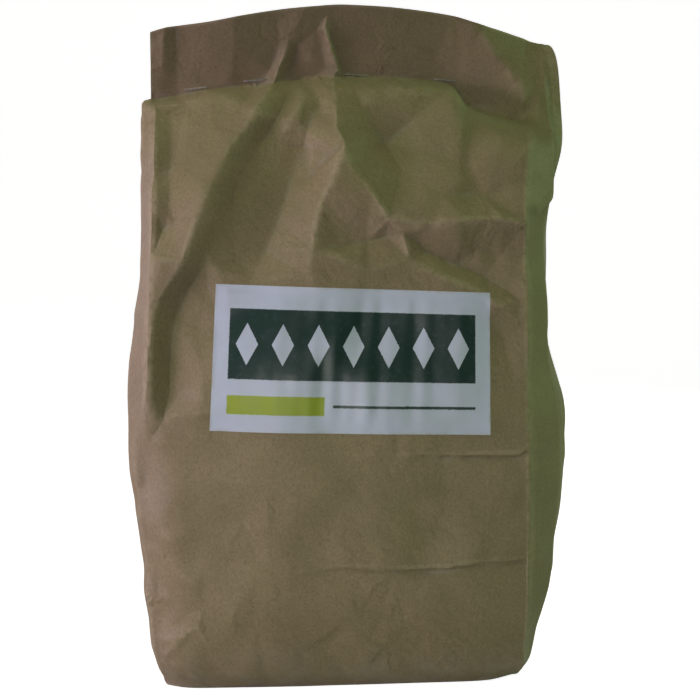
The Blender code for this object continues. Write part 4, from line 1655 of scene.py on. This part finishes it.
@dataclass(frozen=True)
class KraftFinish:
    """Brown kraft paper with a slight machine gloss, rubbed on its ridges, dusty low down, and darkened in
    its hollows by painted shade.
    """

    colour: Point = (0.245, 0.188, 0.1)
    pale: Point = (0.37, 0.31, 0.21)
    deep: Point = (0.15, 0.115, 0.062)
    dust: Point = (0.36, 0.345, 0.31)
    roughness: float = 0.52
    sheen: float = 0.12
    fibres: float = 0.16
    specks: float = 0.55
    # How strongly the hollows are darkened towards the deep colour, as painted shade
    hollow_shade: float = 0.3
    worn_ridges: float = 0.5
    worn_mouth: float = 0.8
    worn_creases: float = 0.12
    dusting: float = 0.3
    crinkle_depth: float = 0.62 * MM
    fibre_depth: float = 0.05 * MM

    def make(self, shared: SharedEffects) -> bpy.types.Material:
        """Make the material for the sack.

        Args:
            shared: the node groups that the finishes share.

        Returns:
            The material.
        """
        material, graph, shader = new_material("kraft_paper_creased")
        place = graph.node("TexCoord").outputs["Object"]
        grain = graph.effect(shared.grain, {"Vector": place, "Scale": 1})
        handled = graph.steps(graph.read("handled"), 0.75, 1.6, 0.45, 1)
        crinkle = graph.effect(shared.crinkle, {"Vector": place, "Scale": 1, "Amount": handled})
        bend = graph.read("bend")
        ridge = graph.effect(shared.wear, {"Vector": place, "Bend": bend, "Start": 0.035, "End": 0.22})
        # Where the paper bends inwards: the colour is darkened there as painted shade, and dust settles there
        # too
        hollow = graph.steps(bend, -0.03, -0.22)
        dust = graph.effect(shared.dust, {"Vector": place, "Hollow": hollow, "Reach": 0.03})
        mottle = graph.noise(place, 620, 3, 0.7)
        pulp = graph.noise(graph.stretched(place, (1, 1, 0.55)), 1700, 2, 0.6)
        rubbed = graph.times(ridge.outputs[0], self.worn_ridges)
        rubbed = graph.most(rubbed, graph.times(graph.read("cut_edge"), self.worn_mouth))
        rubbed = graph.most(rubbed, graph.times(crinkle.outputs["Lines"], self.worn_creases))
        colour = graph.layered(self.colour, (
            (graph.steps(grain.outputs["Tone"], 0.35, 0.65, 0, 0.5), self.deep),
            (graph.steps(mottle, 0.36, 0.66, 0, 0.5), self.deep),
            (graph.steps(pulp, 0.36, 0.64, 0, 0.21), self.pale),
            (graph.times(grain.outputs["Fibre"], self.fibres), self.pale),
            (graph.times(grain.outputs["Speck"], self.specks), self.deep),
            # Painted shade: the hollows of the creases darkened towards the deep colour
            (graph.times(hollow, self.hollow_shade), self.deep),
            (rubbed, self.pale),
            (graph.times(dust.outputs[0], self.dusting), self.dust),
        ))
        rough = graph.plus(self.roughness, graph.times(grain.outputs["Tone"], 0.12))
        rough = graph.plus(rough, graph.times(rubbed, 0.25))
        crease = graph.bump(1, self.crinkle_depth, crinkle.outputs["Height"])
        normal = graph.bump(0.55, self.fibre_depth, grain.outputs["Height"], crease)
        graph.feed(shader, {"Base Color": colour, "Roughness": rough, "Normal": normal, "IOR": 1.5,
                            "Sheen Weight": self.sheen, "Sheen Roughness": 0.4,
                            "Sheen Tint": (1, 0.95, 0.9, 1)})
        return material


@dataclass(frozen=True)
class PrintedFinish:
    """White sticker paper with a plain printed pattern: a band of lozenges and a bar."""

    ground: Point = (0.53, 0.59, 0.78)
    band: Point = (0.012, 0.036, 0.034)
    bar: Point = (0.30, 0.38, 0.03)
    soiled: Point = (0.33, 0.31, 0.25)
    band_edges: tuple[float, float, float, float] = (0.055, 0.945, 0.36, 0.84)
    bar_edges: tuple[float, float, float, float] = (0.055, 0.40, 0.12, 0.25)
    rule_edges: tuple[float, float, float, float] = (0.43, 0.945, 0.175, 0.195)
    lozenges: int = 7
    bleed: float = 0.0018
    soiling: float = 0.5
    ink_gloss: float = 0.06
    roughness: float = 0.34
    crinkle_depth: float = 0.15 * MM
    fibre_depth: float = 0.02 * MM

    def _within(self, graph: Graph, across: object, up: object, edges: tuple[float, ...]) -> Socket:
        """Mask of a printed rectangle with slightly bled edges.

        Args:
            graph: the finish's graph.
            across: places across the print, 0 to 1.
            up: places up the print, 0 to 1.
            edges: its left, right, low and high edges.

        Returns:
            The mask.
        """
        left, right, low, high = edges
        soft = self.bleed
        mask = graph.steps(across, left - soft, left + soft)
        mask = graph.times(mask, graph.steps(across, right + soft, right - soft))
        mask = graph.times(mask, graph.steps(up, low - 2 * soft, low + 2 * soft))
        return graph.times(mask, graph.steps(up, high + 2 * soft, high - 2 * soft))

    def _lozenge_row(self, graph: Graph, across: object, up: object) -> Socket:
        """Mask of the pale lozenges along the middle of the band.

        Args:
            graph: the finish's graph.
            across: places across the print, 0 to 1.
            up: places up the print, 0 to 1.

        Returns:
            The mask.
        """
        left, right, low, high = self.band_edges
        along_band = graph.math("DIVIDE", graph.minus(across, left), (right - left) / self.lozenges)
        offset = graph.math("ABSOLUTE", graph.minus(graph.math("FRACT", along_band), 0.5))
        rise = graph.math("ABSOLUTE", graph.minus(up, (low + high) / 2))
        size = graph.plus(graph.times(offset, 1.35), graph.times(rise, 2.9))
        return graph.steps(size, 0.425, 0.41)

    def make(self, shared: SharedEffects) -> bpy.types.Material:
        """Make the material for the sticker.

        Args:
            shared: the node groups that the finishes share.

        Returns:
            The material.
        """
        material, graph, shader = new_material("sticker_printed_paper")
        place = graph.node("TexCoord").outputs["Object"]
        across, up = graph.read("print_across"), graph.read("print_up")
        wander = graph.times(graph.minus(graph.noise(place, 900, 2), 0.5), 0.004)
        across = graph.plus(across, wander)
        up = graph.plus(up, graph.times(wander, 2))
        grain = graph.effect(shared.grain, {"Vector": place, "Scale": 1.4})
        crinkle = graph.effect(shared.crinkle, {"Vector": place, "Scale": 0.8, "Amount": 0.6})
        ink = self._within(graph, across, up, self.band_edges)
        ink = graph.times(ink, graph.minus(1, self._lozenge_row(graph, across, up)))
        ink = graph.most(ink, self._within(graph, across, up, self.rule_edges))
        bar = self._within(graph, across, up, self.bar_edges)
        thin = graph.steps(graph.noise(place, 340, 4, 0.7), 0.2, 0.5, 0.93, 1)
        rim = self._near_rim(graph, graph.read("print_across"), graph.read("print_up"))
        grime = graph.effect(shared.dust, {"Vector": place, "Hollow": graph.times(rim, 0.8), "Reach": 0.01})
        colour = graph.layered(self.ground, (
            (graph.steps(grain.outputs["Tone"], 0.3, 0.75, 0, 0.2), self.soiled),
            (graph.times(ink, thin), self.band),
            (graph.times(bar, thin), self.bar),
            (graph.times(grime.outputs[0], self.soiling), self.soiled),
        ))
        rough = graph.plus(self.roughness, graph.times(grain.outputs["Tone"], 0.14))
        rough = graph.minus(rough, graph.times(ink, self.ink_gloss))
        crease = graph.bump(0.7, self.crinkle_depth, crinkle.outputs["Height"])
        normal = graph.bump(0.3, self.fibre_depth, grain.outputs["Height"], crease)
        graph.feed(shader, {"Base Color": colour, "Roughness": rough, "Normal": normal})
        return material

    @staticmethod
    def _near_rim(graph: Graph, across: object, up: object) -> Socket:
        """Mask that rises towards the sticker's cut edges, where dirt collects.

        Args:
            graph: the finish's graph.
            across: places across the print, 0 to 1.
            up: places up the print, 0 to 1.

        Returns:
            The mask.
        """
        sides = graph.math("ABSOLUTE", graph.minus(across, 0.5))
        ends = graph.math("ABSOLUTE", graph.minus(up, 0.5))
        return graph.most(graph.steps(sides, 0.485, 0.5), graph.steps(ends, 0.47, 0.5))


@dataclass(frozen=True)
class WireFinish:
    """Galvanised steel wire, drawn lengthwise, scratched and a little tarnished."""

    colour: Point = (0.47, 0.46, 0.44)
    tarnish: Point = (0.16, 0.13, 0.10)
    roughness: float = 0.24
    spotting: float = 0.8
    scratch_depth: float = 0.03 * MM

    def make(self, shared: SharedEffects) -> bpy.types.Material:
        """Make the material for the staples.

        Args:
            shared: the node groups that the finishes share.

        Returns:
            The material.
        """
        material, graph, shader = new_material("staple_drawn_steel")
        place = graph.node("TexCoord").outputs["Object"]
        drawn = graph.noise(graph.stretched(place, (500, 9000, 9000)), 1, 3, 0.6)
        patches = {"Vector": place, "Bend": 0.35, "Start": 0, "End": 0.6, "Scale": 900}
        spots = graph.effect(shared.wear, patches).outputs[0]
        colour = graph.mix(graph.times(spots, self.spotting), self.colour, self.tarnish)
        rough = graph.plus(self.roughness, graph.times(drawn, 0.22))
        rough = graph.plus(rough, graph.times(spots, 0.3))
        normal = graph.bump(0.4, self.scratch_depth, drawn)
        graph.feed(shader, {"Base Color": colour, "Roughness": rough, "Metallic": 1, "Normal": normal})
        return material


@dataclass(frozen=True)
class Lamp:
    """One soft area light, aimed at the sack."""

    name: str
    place: Point
    aim: Point
    size: float
    power: float
    tint: Point
    spread: float = 180

    def put(self) -> None:
        """Hang the light."""
        data = bpy.data.lights.new(self.name, "AREA")
        data.shape = "DISK"
        data.size = self.size
        data.energy = self.power
        data.color = self.tint
        data.spread = radians(self.spread)
        lamp = bpy.data.objects.new(self.name, data)
        bpy.context.scene.collection.objects.link(lamp)
        lamp.location = self.place
        lamp.rotation_euler = (Vector(self.aim) - Vector(self.place)).to_track_quat("-Z", "Y").to_euler()


@dataclass
class Studio:
    """Pale sweep, soft lights and the camera at the photograph's place."""

    lamps: tuple[Lamp, ...] = (
        Lamp("left_window", (-1.25, -0.34, 0.24), (0, 0, 0.15), 0.35, 8.7, (0.98, 0.77, 1.0)),
        Lamp("left_rear_window", (-1.1, 0.75, 0.4), (0, 0, 0.17), 0.6, 3, (1.0, 0.8, 0.93)),
        Lamp("left_ceiling", (-0.6, -0.6, 1.15), (0, 0, 0.25), 0.35, 3.5, (0.86, 1.0, 0.56)),
        Lamp("ceiling", (0.15, -0.5, 1.35), (0, 0, 0.25), 0.4, 1.3, (0.66, 1.0, 0.42)),
        Lamp("right_wall", (1.25, -0.03, 0.6), (0, 0, 0.2), 0.45, 4.3, (0.6, 1.0, 0.44)),
        Lamp("front_fill", (-0.1, -1.7, 0.1), (0, 0, 0.12), 1.0, 2.2, (1.0, 0.86, 0.98)),
        Lamp("low_fill", (-0.2, -1.4, 0.12), (0.02, 0, 0.04), 0.3, 0.088, (0.98, 1.0, 0.86), 26),
        Lamp("mouth_fill", (-0.45, -1.1, 0.03), (-0.06, 0, 0.355), 0.2, 0.02, (0.9, 0.4, 1.0), 20),
        Lamp("back_fill", (0.7, 1.35, 0.6), (0, 0, 0.2), 0.6, 6, (1.0, 0.93, 0.93)),
    )
    pale: float = 0.5
    glow: float = 0.93
    world: float = 0.04
    azimuth: float = -6
    distance: float = 0.9
    camera_height: float = 0.245
    aim_height: float = 0.181
    lens: float = 82.9
    shift: float = 0.0057

    def sweep(self) -> bpy.types.Object:
        """Make the floor that curves up into a backdrop, all in one pale sheet.

        Returns:
            The sheet.
        """
        radius, behind, width, front, top = 1.2, 1.4, 5.0, -3.5, 4.0
        profile = [(front, 0.0), (behind, 0.0)]
        arc = np.linspace(0.05, pi / 2, 24)
        profile += [(behind + radius * sin(a), radius - radius * cos(a)) for a in arc]
        profile.append((behind + radius, top))
        points = np.array([(x, y, z) for y, z in profile for x in (-width, width)])
        made = add_mesh("pale_floor", points, quads(len(profile), 2))
        material, graph, shader = new_material("pale_floor_paint")
        place = graph.node("TexCoord").outputs["Object"]
        tone = graph.steps(graph.noise(place, 3, 3), 0.3, 0.7, self.pale - 0.01, self.pale + 0.01)
        colour = graph.node("CombineColor", {0: tone, 1: tone, 2: tone}).outputs[0]
        seen = graph.node("LightPath").outputs["Is Camera Ray"]
        graph.feed(shader, {"Base Color": colour, "Roughness": 0.7, "Emission Color": (1, 1, 1, 1),
                            "Emission Strength": graph.times(seen, self.glow)})
        made.data.materials.append(material)
        return made

    def camera(self, origin: np.ndarray) -> None:
        """Put the camera where the photograph was taken from.

        Args:
            origin: what was added to the sack's own coordinates.
        """
        data = bpy.data.cameras.new("camera")
        data.lens = self.lens
        data.sensor_width = 36
        data.shift_x = self.shift
        camera = bpy.data.objects.new("camera", data)
        bpy.context.scene.collection.objects.link(camera)
        angle = radians(self.azimuth)
        offset = Vector((origin[0], origin[1], 0))
        place = Vector((self.distance * sin(angle), -self.distance * cos(angle), self.camera_height)) + offset
        aim = Vector((0, 0, self.aim_height)) + offset
        camera.location = place
        camera.rotation_euler = (aim - place).to_track_quat("-Z", "Y").to_euler()
        bpy.context.scene.camera = camera

    def build(self, origin: np.ndarray) -> bpy.types.Object:
        """Set everything up round the sack.

        Args:
            origin: what was added to the sack's own coordinates.

        Returns:
            The sweep.
        """
        for lamp in self.lamps:
            lamp.put()
        self.camera(origin)
        scene = bpy.context.scene
        scene.world = bpy.data.worlds.new("studio_air")
        scene.world.use_nodes = True
        background = scene.world.node_tree.nodes["Background"]
        background.inputs[0].default_value = (1, 1, 1, 1)
        background.inputs[1].default_value = self.world
        scene.view_settings.view_transform = "Standard"
        return self.sweep()


STAPLES = (
    Staple("wire_staple_1", 7, (0, 0.0006)),
    Staple("wire_staple_2", 5, (0, 0.0008)),
    Staple("wire_staple_3", -1.5, (0, 0.0004)),
    Staple("wire_staple_4", -3, (0.0016, 0.0019)),
)


def main() -> None:
    """Build the bag's pieces, dress them and set up the studio."""
    logging.basicConfig(level=logging.INFO, format="%(name)s: %(message)s")
    shared = SharedEffects()
    paper = PaperSack()
    sack = paper.build()
    sack.data.materials.append(KraftFinish().make(shared))
    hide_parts("paper_sack")
    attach(sack, "root")
    LOG.info("sack: %d faces", len(sack.data.polygons))
    faces = [face.vertices for face in sack.data.polygons]
    surface = BVHTree.FromPolygons([vertex.co for vertex in sack.data.vertices], faces)
    label = Sticker().build(surface, paper.origin)
    label.data.materials.append(PrintedFinish().make(shared))
    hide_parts("label")
    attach(label, "root")
    LOG.info("label: %d faces", len(label.data.polygons))
    steel = WireFinish().make(shared)
    for i, staple in enumerate(STAPLES, 1):
        low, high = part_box(f"staple_{i}")
        right, up = staple.shift
        piece = staple.build(surface, (low + high) / 2 + Vector((right, 0, up)))
        piece.data.materials.append(steel)
        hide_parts(f"staple_{i}")
        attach(piece, "root")
        LOG.info("%s: %d faces", staple.name, len(piece.data.polygons))
    Studio().build(paper.origin)


if __name__ == "__main__":
    main()
